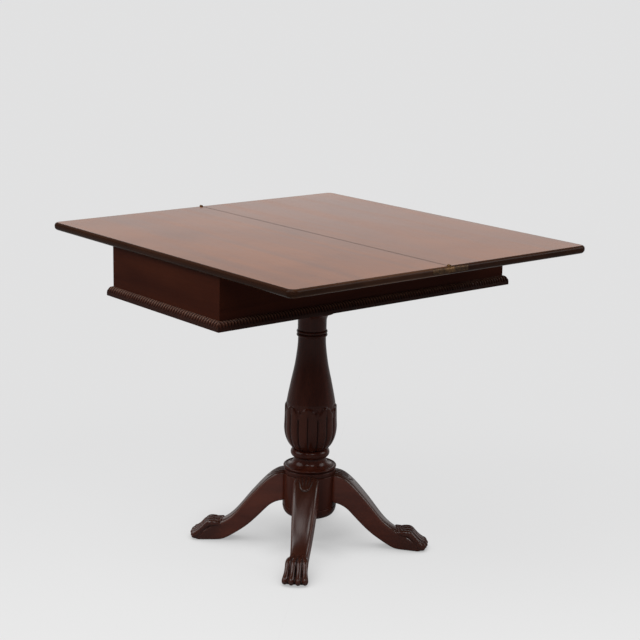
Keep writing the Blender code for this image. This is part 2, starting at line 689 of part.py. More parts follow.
def make_hub(wood, iron):
    hub = make_object("hub", turn([(0, hub_top), (HUB_RADIUS, hub_top), (HUB_RADIUS, HUB_BOTTOM),
                                   (0, HUB_BOTTOM)]), wood)
    bore_bottom = column_bottom - LOWER_TENON_LENGTH - FIT_GAP
    bore = rod(TENON_RADIUS + FIT_GAP, bore_bottom, hub_top + OVERCUT, ROUND_STEPS)
    combine(hub, make_cutter("hub_bore", bore))
    socket = tongue_prism(FIT_GAP, HUB_BOTTOM - OVERCUT, TONGUE_TOP + FIT_GAP, HUB_RADIUS + OVERCUT)
    turns = [Matrix.Rotation(radians(angle), 4, "Z") for angle in LEG_ANGLES.values()]
    combine(hub, make_cutter("hub_sockets", add_copies(socket, turns)))

    base_top = HUB_BOTTOM - FIT_GAP
    base_bottom = base_top - BASE_HEIGHT
    rounded = arc((BASE_FOOT_RADIUS, base_top), (HUB_RADIUS - BASE_FOOT_RADIUS, BASE_HEIGHT), 0, -90, 5)
    base = make_object("hub_base", turn([(0, base_top)] + rounded + [(0, base_bottom)]), wood)
    places = [Matrix.Rotation(i * pi / 2, 4, "Z") @ facing((0, 0, -1), (BASE_SCREW_CIRCLE, 0, base_bottom))
              for i in range(4)]
    holes = make_screws("hub_base_screw", BASE_SCREW_RADIUS, BASE_SCREW_LENGTH, places, iron)
    combine(base, holes)
    combine(hub, holes)


# Legs

def leg_ring(section):
    """One cross-section of a leg that points along +X, with a crowned top and toes at the foot."""
    top_out, top_height, low_out, low_height, half_width, toes = section
    top = Vector((HUB_RADIUS + top_out, 0, top_height))
    low = Vector((HUB_RADIUS + low_out, 0, max(0.0, low_height)))
    up = (top - low).normalized()
    ring = []
    across_steps = 4 * TOE_COUNT
    for i in range(across_steps + 1):
        v = 2 * i / across_steps - 1
        groove = toes * (1 - abs(sin(TOE_COUNT * pi * v / 2)))
        drop = LEG_CROWN * v**2 + LEG_ARRIS * abs(v)**LEG_ARRIS_POWER + TOE_GROOVE * groove
        point = top - up * min(drop, GROOVE_LIMIT * (top - low).length)
        back = toes * (TOE_ARC * v**2) + TOE_STEP * groove * toes
        ring.append((point.x - back, half_width * v, point.z))
    for v in SOLE_SPREAD:
        ring.append((low.x - toes * TOE_ARC * v**2, half_width * v, low.z))
    return ring


def make_legs(wood):
    root = turn([(0, hub_top + HUB_HEIGHT), (HUB_RADIUS + FIT_GAP, hub_top + HUB_HEIGHT),
                 (HUB_RADIUS + FIT_GAP, 0), (0, 0)])
    hub_cutter = make_cutter("leg_root_cut", root)
    sections = smooth(LEG_SECTIONS, LEG_STEPS)
    tongue_inside = HUB_RADIUS + TONGUE_DEPTH / 2
    for name, angle in LEG_ANGLES.items():
        turned = Matrix.Rotation(radians(angle), 4, "Z")
        leg = make_object(name, loft([leg_ring(section) for section in sections]), wood)
        dovetail = tongue_prism(0, HUB_BOTTOM + FIT_GAP, TONGUE_TOP, tongue_inside)
        tongue = make_cutter(name + "_tongue", dovetail)
        leg.matrix_world = turned
        tongue.matrix_world = turned
        combine(leg, hub_cutter)
        combine(leg, tongue, "UNION")


def make_table():
    clear_scene()
    top_wood = make_material("polished_top", (0.16, 0.045, 0.022), 0.25)
    frame_wood = make_material("polished_frame", (0.10, 0.020, 0.010), 0.30)
    pedestal_wood = make_material("polished_pedestal", (0.075, 0.018, 0.010), 0.32)
    inner_wood = make_material("plain_inner_wood", (0.36, 0.24, 0.13), 0.70)
    brass = make_material("aged_brass", (0.30, 0.21, 0.06), 0.40, 1.0)
    iron = make_material("dark_iron", (0.12, 0.11, 0.10), 0.50, 1.0)

    swivel_axis = make_axis("swivel_axis", pivot)
    leaf_axis = make_axis("leaf_axis", Vector((0, 0, hinge_height)), swivel_axis)

    lower_leaf = make_object("lower_leaf", leaf_blank(-1), top_wood, swivel_axis)
    upper_leaf = make_object("upper_leaf", leaf_blank(1), top_wood, leaf_axis)
    make_hinge_half(lower_leaf, "lower", -1, brass, swivel_axis)
    make_hinge_half(upper_leaf, "upper", 1, brass, leaf_axis)
    make_hinge_pins(brass, swivel_axis)
    make_swivel(lower_leaf, iron, brass, inner_wood, swivel_axis)

    tenon_cutter = make_frame(frame_wood, inner_wood)
    make_column(pedestal_wood, inner_wood, tenon_cutter)
    make_hub(pedestal_wood, iron)
    make_legs(pedestal_wood)


make_table()
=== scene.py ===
import json
from math import ceil, cos, exp, pi, radians, sin, sqrt

import bmesh
import bpy
from mathutils import Matrix, Vector


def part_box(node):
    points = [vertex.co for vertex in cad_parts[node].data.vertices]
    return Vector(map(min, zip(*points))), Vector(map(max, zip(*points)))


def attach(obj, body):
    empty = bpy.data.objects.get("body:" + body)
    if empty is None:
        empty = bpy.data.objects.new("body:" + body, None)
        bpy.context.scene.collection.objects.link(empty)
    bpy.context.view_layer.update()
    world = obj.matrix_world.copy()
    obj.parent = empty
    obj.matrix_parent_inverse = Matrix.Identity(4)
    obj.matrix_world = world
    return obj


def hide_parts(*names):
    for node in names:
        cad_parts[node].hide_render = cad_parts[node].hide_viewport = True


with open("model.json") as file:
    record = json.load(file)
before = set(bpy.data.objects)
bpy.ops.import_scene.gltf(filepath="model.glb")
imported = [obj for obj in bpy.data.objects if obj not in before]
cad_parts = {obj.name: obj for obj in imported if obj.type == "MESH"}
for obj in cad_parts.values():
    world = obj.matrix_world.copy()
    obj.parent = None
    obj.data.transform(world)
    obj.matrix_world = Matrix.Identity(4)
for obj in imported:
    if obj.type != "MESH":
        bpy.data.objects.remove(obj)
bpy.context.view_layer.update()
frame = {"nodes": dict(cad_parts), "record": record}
scene = bpy.context.scene
scene.view_settings.view_transform = "Standard"
print("frame loaded:", len(frame["nodes"]), "nodes")

near = 0.00001  # places closer than this are the same place
fit = 0.0003  # gap that the frame keeps between two pieces
over = 0.004  # how far a cutter stands out of what it cuts
bodies = {node: body for body, nodes in frame["record"]["behaviour"]["bodies"].items() for node in nodes}


def boxOf(node):  # a node's lowest and highest corner, to the thousandth of a millimetre
    return [[round(c, 6) for c in corner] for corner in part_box(node)]


# selecting and editing
def clearSelection():
    if bpy.context.object and bpy.context.object.mode != "OBJECT":
        bpy.ops.object.mode_set(mode="OBJECT")
    bpy.ops.object.select_all(action="DESELECT")


def takeUp(piece):
    clearSelection()
    piece.select_set(True)
    bpy.context.view_layer.objects.active = piece


def nameNew(name):
    bpy.context.object.name = name
    return bpy.context.object


def startEdit(piece):
    takeUp(piece)
    bpy.ops.object.mode_set(mode="EDIT")
    bpy.ops.mesh.select_mode(type="VERT")


def endEdit():
    bpy.ops.object.mode_set(mode="OBJECT")


def roundEdges(piece, test, reach, steps):  # the test gets the two ends of an edge
    bpy.ops.mesh.select_mode(type="EDGE")
    bpy.ops.mesh.select_all(action="DESELECT")
    mesh = bmesh.from_edit_mesh(piece.data)
    for edge in mesh.edges:
        if test(edge.verts[0].co, edge.verts[1].co):
            edge.select_set(True)
    mesh.select_flush_mode()
    bmesh.update_edit_mesh(piece.data)
    bpy.ops.mesh.bevel(offset=reach, segments=steps, affect="EDGES")


def bothAt(a, b, axis, place):
    return max(abs(a[axis] - place), abs(b[axis] - place)) < near


def applyModifier(piece, kind, **settings):
    takeUp(piece)
    modifier = piece.modifiers.new(kind.lower(), kind)
    for key, value in settings.items():
        setattr(modifier, key, value)
    bpy.ops.object.modifier_apply(modifier=modifier.name)


def applyPlace(piece):
    takeUp(piece)
    bpy.ops.object.transform_apply(location=True, rotation=True, scale=True)


def addBlock(name, low, high):
    clearSelection()
    low, high = Vector(low), Vector(high)
    bpy.ops.mesh.primitive_cube_add(size=1, location=(low + high) / 2, scale=high - low)
    block = nameNew(name)
    applyPlace(block)
    return block


def addRod(name, start, end, radius, sides=32):
    clearSelection()
    start, end = Vector(start), Vector(end)
    bpy.ops.mesh.primitive_cylinder_add(vertices=sides, radius=radius, depth=(end - start).length,
                                        location=(start + end) / 2)
    rod = nameNew(name)
    rod.rotation_euler = (end - start).to_track_quat("Z", "Y").to_euler()
    applyPlace(rod)
    return rod


def cutAway(piece, *cutters):
    for cutter in cutters:
        applyModifier(piece, "BOOLEAN", operation="DIFFERENCE", solver="EXACT", object=cutter)
        bpy.data.objects.remove(cutter)


def joinPieces(pieces, name):
    clearSelection()
    for piece in pieces:
        piece.select_set(True)
    bpy.context.view_layer.objects.active = pieces[0]
    bpy.ops.object.join()
    return nameNew(name)


def cleanMesh(piece, reach=near):
    startEdit(piece)
    bpy.ops.mesh.select_all(action="SELECT")
    bpy.ops.mesh.remove_doubles(threshold=reach)
    bpy.ops.mesh.normals_make_consistent(inside=False)
    endEdit()


def smoothShade(piece, angle):
    takeUp(piece)
    bpy.ops.object.shade_smooth_by_angle(angle=radians(angle))


def evenShade(piece, angle):  # flat faces stay flat between rounded edges
    smoothShade(piece, angle)
    applyModifier(piece, "WEIGHTED_NORMAL", mode="FACE_AREA", weight=80, keep_sharp=True)


def newMarks(piece, *names):
    for name in names:
        piece.data.attributes.new(name, "FLOAT", "POINT")
    return [piece.data.attributes[name].data for name in names]


def markPoints(piece, name, value):
    marks = newMarks(piece, name)[0]
    for point in piece.data.vertices:
        marks[point.index].value = value(point.co)


def fitPiece(piece, finish, node):
    piece.data.materials.clear()
    piece.data.materials.append(finishes[finish])
    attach(piece, bodies[node])
    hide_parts(node)


def copyPiece(piece, name, turn):
    takeUp(piece)
    bpy.ops.object.duplicate(linked=False)
    twin = nameNew(name)
    twin.matrix_world = turn
    applyPlace(twin)
    return twin


def softStep(x, start, end):  # nothing at the start, one at the end
    share = min(1, max(0, (x - start) / (end - start)))
    return share * share * (3 - 2 * share)


def arcPoints(centre, radii, start, end, steps):
    points = []
    for i in range(steps + 1):
        angle = radians(start + (end - start) * i / steps)
        points.append((centre[0] + radii[0] * cos(angle), centre[1] + radii[1] * sin(angle)))
    return points


def smoothCurve(points, steps):
    rows = [Vector(point) for point in points]
    rows = [2 * rows[0] - rows[1]] + rows + [2 * rows[-1] - rows[-2]]
    curve = []
    for a, b, c, d in zip(rows, rows[1:], rows[2:], rows[3:]):
        for i in range(steps):
            t = i / steps
            curve.append(0.5 * (2 * b + (c - a) * t + (2 * a - 5 * b + 4 * c - d) * t**2
                                + (3 * b - a - 3 * c + d) * t**3))
    return curve + [rows[-2]]


def spinProfile(name, profile, steps):
    clearSelection()
    bpy.ops.mesh.primitive_plane_add(size=0.01, location=(0, 0, 0))
    piece = nameNew(name)
    startEdit(piece)
    bpy.ops.mesh.select_all(action="SELECT")
    bpy.ops.mesh.merge(type="CENTER")
    place = Vector((profile[0][0], 0, profile[0][1]))
    bpy.ops.transform.translate(value=place)
    for radius, height in profile[1:]:
        step = Vector((radius, 0, height)) - place
        bpy.ops.mesh.extrude_region_move(TRANSFORM_OT_translate={"value": step})
        place = place + step
    bpy.ops.mesh.select_all(action="SELECT")
    bpy.ops.mesh.spin(steps=steps, angle=2 * pi, center=(0, 0, 0), axis=(0, 0, 1))
    endEdit()
    cleanMesh(piece)
    return piece


def extrudeRings(name, rings):
    clearSelection()
    bpy.ops.mesh.primitive_circle_add(vertices=len(rings[0]), radius=1, fill_type="NGON")
    piece = nameNew(name)
    bpy.ops.object.mode_set(mode="EDIT")
    bpy.ops.mesh.select_mode(type="FACE")
    bpy.ops.mesh.select_all(action="SELECT")
    mesh = bmesh.from_edit_mesh(piece.data)
    for point, place in zip(list(mesh.verts), rings[0]):
        point.co = place
    for before, ring in zip(rings, rings[1:]):
        bpy.ops.mesh.extrude_region_move()
        mesh = bmesh.from_edit_mesh(piece.data)
        for point in [v for v in mesh.verts if v.select]:
            nearest = min(range(len(before)), key=lambda k: (point.co - Vector(before[k])).length)
            point.co = ring[nearest]
        bmesh.update_edit_mesh(piece.data)
    endEdit()
    cleanMesh(piece, near / 100)
    return piece


# nodes
def startNodes(owner):  # a material or the world
    owner.use_nodes = True
    owner.node_tree.nodes.clear()
    return owner.node_tree


def plug(tree, socket, value):
    if isinstance(value, bpy.types.NodeSocket):
        tree.links.new(value, socket)
    elif socket.type == "RGBA":
        socket.default_value = (*value, 1)
    else:
        socket.default_value = value


def addNode(tree, kind, inputs=None, **settings):
    node = tree.nodes.new("ShaderNode" + kind)
    for key, value in settings.items():
        setattr(node, key, value)
    for key, value in (inputs or {}).items():
        plug(tree, node.inputs[key], value)
    return node


def addNoise(tree, coords, scale, detail, rough, bend=0.0):
    inputs = {"Vector": coords, "Scale": scale, "Detail": detail, "Roughness": rough, "Distortion": bend}
    return addNode(tree, "TexNoise", inputs).outputs["Fac"]


def addMath(tree, kind, *values):
    return addNode(tree, "Math", dict(enumerate(values)), operation=kind).outputs[0]


def addRange(tree, value, fromLow, fromHigh, toLow, toHigh):
    inputs = {"Value": value, "From Min": fromLow, "From Max": fromHigh, "To Min": toLow, "To Max": toHigh}
    return addNode(tree, "MapRange", inputs, interpolation_type="SMOOTHSTEP").outputs["Result"]


def addMix(tree, share, first, second):
    return addNode(tree, "Mix", {0: share, 6: first, 7: second}, data_type="RGBA").outputs[2]


def addRamp(tree, value, stops):
    node = addNode(tree, "ValToRGB", {"Fac": value})
    marks = node.color_ramp.elements
    while len(marks) < len(stops):
        marks.new(0.5)
    for mark, (place, colour) in zip(marks, stops):
        mark.position = place
        mark.color = (*colour, 1)
    return node.outputs["Color"]


def addBump(tree, height, strength, depth):
    inputs = {"Height": height, "Strength": strength, "Distance": depth}
    return addNode(tree, "Bump", inputs).outputs["Normal"]


def readMark(tree, name):
    return addNode(tree, "Attribute", attribute_name=name).outputs["Fac"]


def splitAxes(tree, coords):
    return addNode(tree, "SeparateXYZ", {0: coords}).outputs


def mixAxes(tree, axes, xShare, yShare):  # how far along a level direction
    return addMath(tree, "MULTIPLY_ADD", axes["Y"], yShare, addMath(tree, "MULTIPLY", axes["X"], xShare))


def mixShaders(tree, share, first, second):
    return addNode(tree, "MixShader", {0: share, 1: first.outputs[0], 2: second.outputs[0]})


# polished and plain wood
# the worn colours stand for wear with a painted highlight, the dirt colours for dirt with painted shade
woodLooks = {
    "topWood": {
        "dark": (0.150, 0.041, 0.0110), "middle": (0.222, 0.065, 0.0170), "light": (0.300, 0.094, 0.0260),
        "wornAndLit": (0.26, 0.100, 0.045), "dirtAndShade": (0.014, 0.006, 0.004),
        "grain": (1.0, 0.05, 1.0), "figure": 14, "fibre": 260, "pores": 1300, "fibreShare": 0.16,
        "rough": (0.15, 0.21), "specular": 0.5, "bump": 0.002, "jointLine": (0.0008, 0.0023),
    },
    # the leaves' edges: a darker copy of the top's wood, painted shade
    "shadedEdgeWood": {
        "dark": (0.018, 0.0062, 0.0030), "middle": (0.025, 0.0088, 0.0043), "light": (0.034, 0.0120, 0.0060),
        "wornAndLit": (0.20, 0.098, 0.055), "dirtAndShade": (0.006, 0.003, 0.002),
        "grain": (1.0, 0.05, 1.0), "figure": 20, "fibre": 300, "pores": 1300, "fibreShare": 0.12,
        "rough": (0.16, 0.24), "specular": 0.065, "bump": 0.02,
    },
    "underWood": {
        "dark": (0.052, 0.019, 0.0095), "middle": (0.076, 0.029, 0.0145), "light": (0.104, 0.041, 0.0205),
        "wornAndLit": (0.15, 0.07, 0.035), "dirtAndShade": (0.012, 0.006, 0.004),
        "grain": (1.0, 0.05, 1.0), "figure": 18, "fibre": 340, "pores": 1400, "fibreShare": 0.2,
        "rough": (0.50, 0.66), "specular": 0.18, "bump": 0.08,
    },
    "frameWoodLong": {
        "dark": (0.032, 0.0068, 0.0032), "middle": (0.044, 0.0100, 0.0046), "light": (0.058, 0.0140, 0.0062),
        "wornAndLit": (0.11, 0.036, 0.017), "dirtAndShade": (0.008, 0.003, 0.002),
        "grain": (0.05, 1.0, 1.0), "figure": 20, "fibre": 360, "pores": 1400, "fibreShare": 0.14,
        "rough": (0.28, 0.40), "specular": 0.03, "bump": 0.04,
    },
    "mouldingWood": {
        "dark": (0.036, 0.0080, 0.0040), "middle": (0.050, 0.0120, 0.0056), "light": (0.066, 0.0165, 0.0075),
        "wornAndLit": (0.26, 0.146, 0.100), "dirtAndShade": (0.003, 0.0015, 0.001),
        "grain": (1.0, 1.0, 1.0), "figure": 40, "fibre": 360, "pores": 1400, "fibreShare": 0.14,
        "rough": (0.22, 0.32), "specular": 0.12, "bump": 0.03,
    },
    "columnWood": {
        "dark": (0.042, 0.0092, 0.0052), "middle": (0.058, 0.0132, 0.0072), "light": (0.078, 0.0185, 0.0096),
        "wornAndLit": (0.11, 0.036, 0.020), "dirtAndShade": (0.007, 0.003, 0.0025),
        "grain": (1.0, 1.0, 0.06), "figure": 34, "fibre": 400, "pores": 1500, "fibreShare": 0.18,
        "rough": (0.16, 0.23), "specular": 0.20, "bump": 0.04,
    },
    "legWood": {
        "dark": (0.072, 0.0150, 0.0085), "middle": (0.100, 0.0225, 0.0125), "light": (0.138, 0.0320, 0.0170),
        # stain: colour of the painted shade on upward faces and of the darker feet
        "wornAndLit": (0.17, 0.075, 0.047), "dirtAndShade": (0.008, 0.004, 0.003), "stain": (0.030, 0.0110, 0.0072),
        "grain": (0.08, 1.0, 0.55), "figure": 30, "fibre": 380, "pores": 1500, "fibreShare": 0.18,
        "rough": (0.18, 0.27), "specular": 0.42, "bump": 0.05, "ownGrain": True,
    },
    "pineAcross": {
        "dark": (0.20, 0.115, 0.052), "middle": (0.30, 0.185, 0.088), "light": (0.38, 0.25, 0.125),
        "wornAndLit": (0.42, 0.30, 0.16), "dirtAndShade": (0.10, 0.06, 0.03),
        "grain": (0.05, 1.0, 1.0), "figure": 60, "fibre": 500, "pores": 1700, "fibreShare": 0.20,
        "rough": (0.60, 0.78), "specular": 0.25, "bump": 0.16,
    },
}
woodLooks["frameWoodShort"] = {**woodLooks["frameWoodLong"], "grain": (1.0, 0.05, 1.0)}
woodLooks["pineAlong"] = {**woodLooks["pineAcross"], "grain": (1.0, 0.05, 1.0)}
woodLooks["pineUpright"] = {
    **woodLooks["pineAcross"], "grain": (1.0, 1.0, 0.06), "wornAndLit": (0.40, 0.28, 0.15),
    "dark": (0.18, 0.10, 0.045), "middle": (0.27, 0.165, 0.078), "light": (0.35, 0.225, 0.11),
}
woodPattern = {  # detail, roughness and bend of each noise; the cloud's scale comes first
    "figure": (5, 0.55, 0.9), "fibre": (6, 0.65), "pores": (2, 0.5), "cloud": (5.5, 3, 0.5, 0.4),
    "cloudShare": 0.25, "tones": (0.36, 0.50, 0.64), "poreRange": (0.62, 0.72), "poreShare": 0.35,
    "evenRange": (0.3, 0.7), "leastWearAndSheen": 0.35, "hollowShare": 0.85, "hollowRough": 0.4,
    "poreDepth": -0.5, "bumpDepth": 0.0006,
}


def makeWood(name, look):
    pattern = woodPattern
    material = bpy.data.materials.new(name)
    tree = startNodes(material)
    if look.get("ownGrain"):
        coords = addNode(tree, "Attribute", attribute_name="grain").outputs["Vector"]
    else:
        coords = addNode(tree, "TexCoord").outputs["Object"]
    along = addNode(tree, "Mapping", {"Vector": coords, "Scale": look["grain"]}).outputs["Vector"]
    figure, fibre, pores = (addNoise(tree, along, look[key], *pattern[key])
                            for key in ("figure", "fibre", "pores"))
    cloud = addNoise(tree, coords, *pattern["cloud"])
    shade = addMath(tree, "MULTIPLY", fibre, look["fibreShare"])
    shade = addMath(tree, "MULTIPLY_ADD", figure, 1 - pattern["cloudShare"] - look["fibreShare"], shade)
    shade = addMath(tree, "MULTIPLY_ADD", cloud, pattern["cloudShare"], shade)
    tones = (look["dark"], look["middle"], look["light"])
    colour = addRamp(tree, shade, list(zip(pattern["tones"], tones)))
    speck = addRange(tree, pores, *pattern["poreRange"], 0.0, pattern["poreShare"])
    colour = addMix(tree, speck, colour, look["dirtAndShade"])
    # a lighter worn colour where this mark is set: wear with painted sheen
    patches = addRange(tree, cloud, *pattern["evenRange"], pattern["leastWearAndSheen"], 1.0)
    wearAndSheen = addMath(tree, "MULTIPLY", readMark(tree, "wearAndSheen"), patches)
    colour = addMix(tree, wearAndSheen, colour, look["wornAndLit"])
    # where the stain mark is set: painted shade on upward faces, and darker feet
    if "stain" in look:
        colour = addMix(tree, readMark(tree, "stain"), colour, look["stain"])
    # dirt with painted shade in hollows, creases and grooves: darker and rougher where this mark is set
    dull = readMark(tree, "shadeAndDirtMark")
    colour = addMix(tree, addMath(tree, "MULTIPLY", dull, pattern["hollowShare"]), colour, look["dirtAndShade"])
    if "jointLine" in look:  # dirt and painted shade along the joint of the leaves
        away = addMath(tree, "ABSOLUTE", splitAxes(tree, coords)["X"])
        line = addRange(tree, away, *look["jointLine"], 1.0, 0.0)
        colour = addMix(tree, line, colour, look["dirtAndShade"])
        dull = addMath(tree, "MAXIMUM", dull, line)
    rough = addRange(tree, figure, *pattern["evenRange"], *look["rough"])
    height = addMath(tree, "MULTIPLY_ADD", pores, pattern["poreDepth"], fibre)
    shader = addNode(tree, "BsdfPrincipled", {
        "Base Color": colour,
        "Roughness": addMath(tree, "MULTIPLY_ADD", dull, pattern["hollowRough"], rough),
        "Specular IOR Level": look["specular"],
        "Normal": addBump(tree, height, look["bump"], pattern["bumpDepth"]),
    })
    addNode(tree, "OutputMaterial", {"Surface": shader.outputs["BSDF"]})
    return material


# metals
metalLooks = {
    "agedBrass": {
        "dull": (0.026, 0.012, 0.006), "middle": (0.060, 0.029, 0.011), "bright": (0.20, 0.100, 0.034),
        "rough": (0.34, 0.54), "metal": 0.6, "knuckleSheenAcross": (0.0072, 0.0156), "knuckleSheenUp": (0.740, 0.748),
    },
    "darkIron": {
        "dull": (0.030, 0.027, 0.025), "middle": (0.065, 0.060, 0.056), "bright": (0.12, 0.115, 0.11),
        "rough": (0.38, 0.62), "metal": 0.85,
    },
}
metalPattern = {  # scale, detail, roughness and bend of each noise
    "stain": (240, 5, 0.6, 0.5), "speckle": (1600, 3, 0.6), "speckleShare": 0.3, "tones": (0.36, 0.50, 0.68),
    "evenRange": (0.3, 0.7), "mostWearAndSheen": 0.8, "leastWearAndSheen": 0.25, "bump": 0.08, "bumpDepth": 0.0003,
}


def makeMetal(name, look):
    pattern = metalPattern
    material = bpy.data.materials.new(name)
    tree = startNodes(material)
    coords = addNode(tree, "TexCoord").outputs["Object"]
    stain = addNoise(tree, coords, *pattern["stain"])
    speckle = addNoise(tree, coords, *pattern["speckle"])
    shade = addMath(tree, "MULTIPLY", stain, 1 - pattern["speckleShare"])
    shade = addMath(tree, "MULTIPLY_ADD", speckle, pattern["speckleShare"], shade)
    tones = (look["dull"], look["middle"], look["bright"])
    colour = addRamp(tree, shade, list(zip(pattern["tones"], tones)))
    if "knuckleSheenAcross" in look:  # worn bright, with a painted highlight, on top of the knuckles of the hinge
        axes = splitAxes(tree, coords)
        away = addMath(tree, "ABSOLUTE", axes["X"])
        wornAndLit = addRange(tree, away, *look["knuckleSheenAcross"], pattern["mostWearAndSheen"], 0.0)
        upper = addRange(tree, axes["Z"], *look["knuckleSheenUp"], pattern["leastWearAndSheen"], 1.0)
        colour = addMix(tree, addMath(tree, "MULTIPLY", wornAndLit, upper), colour, look["bright"])
    low, high = look["rough"]
    shader = addNode(tree, "BsdfPrincipled", {
        "Base Color": colour,
        "Metallic": look["metal"],
        "Roughness": addRange(tree, stain, *pattern["evenRange"], high, low),
        "Normal": addBump(tree, speckle, pattern["bump"], pattern["bumpDepth"]),
    })
    addNode(tree, "OutputMaterial", {"Surface": shader.outputs["BSDF"]})
    return material


finishes = {name: makeWood(name, look) for name, look in woodLooks.items()}
finishes.update({name: makeMetal(name, look) for name, look in metalLooks.items()})
print("finishes made:", len(finishes))


# leaves of the top
leafSizes = {
    "corner": 0.018, "cornerSteps": 12, "nose": 0.0072, "underRound": 0.0088, "roundSteps": 8,
    "jointRound": 0.0011, "jointSteps": 2, "smooth": 32, "topFacing": 0.999, "underFacing": -0.9,
    "upperSheen": 0.35, "upperReach": (0.0046, 0.0016), "lowerSheen": 0.60, "lowerReach": (0.0052, 0.0032),
    "leastWearAndSheen": 0.10, "otherEdges": 0.25,
}
hingeSizes = {
    "strapTop": 0.748, "strapDepth": 0.003, "lugLength": 0.0055, "lugLow": 0.742,
    "axisHeight": 0.7503, "roomRadius": 0.0033, "roomDepth": 0.0099,
}


def hingeCutters(node, side, end):  # room for a strap, its lug and the knuckle
    size = hingeSizes
    low, high = boxOf(node)
    tip = high[0] if side > 0 else low[0]
    face, inner = (high[1], low[1]) if end > 0 else (low[1], high[1])
    outside = face + end * over
    cutters = []
    for reach, back, foot, top in (
            (tip, face - end * size["strapDepth"], low[2] - fit, size["strapTop"] + fit),
            (side * size["lugLength"], inner, size["lugLow"] - fit, high[2] + over)):
        xs = sorted((-side * over, reach + side * fit))
        ys = sorted((outside, back - end * fit))
        cutters.append(addBlock("recess", (xs[0], ys[0], foot), (xs[1], ys[1], top)))
    start = (0, outside, size["axisHeight"])
    stop = (0, face - end * size["roomDepth"], size["axisHeight"])
    return cutters + [addRod("knuckleRoom", start, stop, size["roomRadius"])]


def seatCutter(node, foot):  # room in the lower leaf for what stands up into it
    low, high = boxOf(node)
    x, y, top = (low[0] + high[0]) / 2, (low[1] + high[1]) / 2, high[2] + fit
    reach = (high[0] - low[0]) / 2 + fit
    if node == "pivot_plate":
        return addBlock("seat", (x - reach, y - reach, foot), (x + reach, y + reach, top))
    return addRod("seat", (x, y, foot), (x, y, top), reach)


def makeLeaf(which, side):
    size = leafSizes
    low, high = boxOf(which + "_leaf")
    joint, outer = (low[0], high[0]) if side > 0 else (high[0], low[0])
    half, bottom, top = high[1], low[2], high[2]
    leaf = addBlock(which + "_leaf_board", low, high)
    startEdit(leaf)
    roundEdges(leaf, lambda a, b: abs(a.z - b.z) > near and abs(a.x - outer) < near,
               size["corner"], size["cornerSteps"])
    for height, reach in ((top, size["nose"]), (bottom, size["underRound"])):  # all round but the joint
        roundEdges(leaf, lambda a, b: bothAt(a, b, 2, height) and not bothAt(a, b, 0, joint),
                   reach, size["roundSteps"])
    roundEdges(leaf, lambda a, b: bothAt(a, b, 2, top) and bothAt(a, b, 0, joint),
               size["jointRound"], size["jointSteps"])
    endEdit()
    for end, endName in ((-1, "front"), (1, "back")):
        cutAway(leaf, *hingeCutters("hinge_strap_%s_%s" % (which, endName), side, end))
    if which == "lower":
        for seated in ("pivot_plate", "pivot_bolt", "swivel_stop_peg"):
            cutAway(leaf, seatCutter(seated, bottom - over))
    evenShade(leaf, size["smooth"])

    def leafWearAndSheen(co):  # wear with painted sheen on the upper and lower turn of the edge, the wear most where people sit
        if min(abs(outer - co.x), half - abs(co.y)) > size["nose"]:
            return 0.0
        wornAndLit = 1.0 if which == "lower" and half + co.y < size["nose"] else size["otherEdges"]
        upper = size["upperSheen"] * softStep(top - co.z, *size["upperReach"])
        lower = size["lowerSheen"] * softStep(co.z - bottom, *size["lowerReach"])
        return wornAndLit * max(size["leastWearAndSheen"], upper, lower)

    markPoints(leaf, "wearAndSheen", leafWearAndSheen)
    return leaf


for which, side in (("lower", -1), ("upper", 1)):
    leaf = makeLeaf(which, side)
    fitPiece(leaf, "topWood", which + "_leaf")
    # the edges, which face neither up nor down, get the darker edge wood: painted shade
    for finish in ("shadedEdgeWood", "underWood"):
        leaf.data.materials.append(finishes[finish])
    for face in leaf.data.polygons:
        up = face.normal.z
        face.material_index = 0 if up > leafSizes["topFacing"] else 2 if up < leafSizes["underFacing"] else 1
print("leaves made")


# boards, straps and hardware that keep the frame's shape, with their arrises eased
easeSizes = {"flatAngle": 0.6, "sharpAngle": 50, "steps": 2, "merge": 0.000002, "smooth": 35}
easedPieces = (  # finish, width of the eased arris, nodes
    ("frameWoodLong", 0.0005, ("front_apron", "back_apron")),
    ("frameWoodShort", 0.0005, ("left_apron", "right_apron")),
    ("pineAlong", 0.0008, ("pivot_rail", "column_bearer")),
    ("pineAcross", 0.0005, ("well_floor",)),
    ("pineAlong", 0.0008, ("left_ledger", "right_ledger")),
    ("columnWood", 0.0020, ("column_block",)),
    ("pineUpright", 0.0006, ("corner_block_front_left", "corner_block_front_right",
                             "corner_block_back_left", "corner_block_back_right")),
    ("agedBrass", 0.00025, ("hinge_strap_lower_front", "hinge_strap_lower_back", "hinge_strap_upper_front",
                            "hinge_strap_upper_back", "hinge_pin_front", "hinge_pin_back")),
    ("darkIron", 0.0004, ("pivot_plate",)),
    ("darkIron", 0.0006, ("pivot_bolt",)),
    ("darkIron", 0.0007, ("pivot_nut",)),
    ("agedBrass", 0.0004, ("pivot_washer",)),
    ("pineUpright", 0.0009, ("swivel_stop_peg",)),
)


def softCopy(node, edge):
    size = easeSizes
    clearSelection()
    piece = bpy.data.objects.new(node + "_eased", frame["nodes"][node].data.copy())
    scene.collection.objects.link(piece)
    takeUp(piece)
    if piece.data.has_custom_normals:
        bpy.ops.mesh.customdata_custom_splitnormals_clear()
    startEdit(piece)
    bpy.ops.mesh.select_all(action="SELECT")
    bpy.ops.mesh.remove_doubles(threshold=near)
    bpy.ops.mesh.dissolve_limited(angle_limit=radians(size["flatAngle"]))
    endEdit()
    applyModifier(piece, "BEVEL", width=edge, segments=size["steps"], limit_method="ANGLE",
                  angle_limit=radians(size["sharpAngle"]), use_clamp_overlap=True)
    cleanMesh(piece, size["merge"])
    evenShade(piece, size["smooth"])
    return piece


for finish, edge, nodes in easedPieces:
    for node in nodes:
        fitPiece(softCopy(node, edge), finish, node)
print("eased boards and hardware:", sum(len(nodes) for finish, edge, nodes in easedPieces))


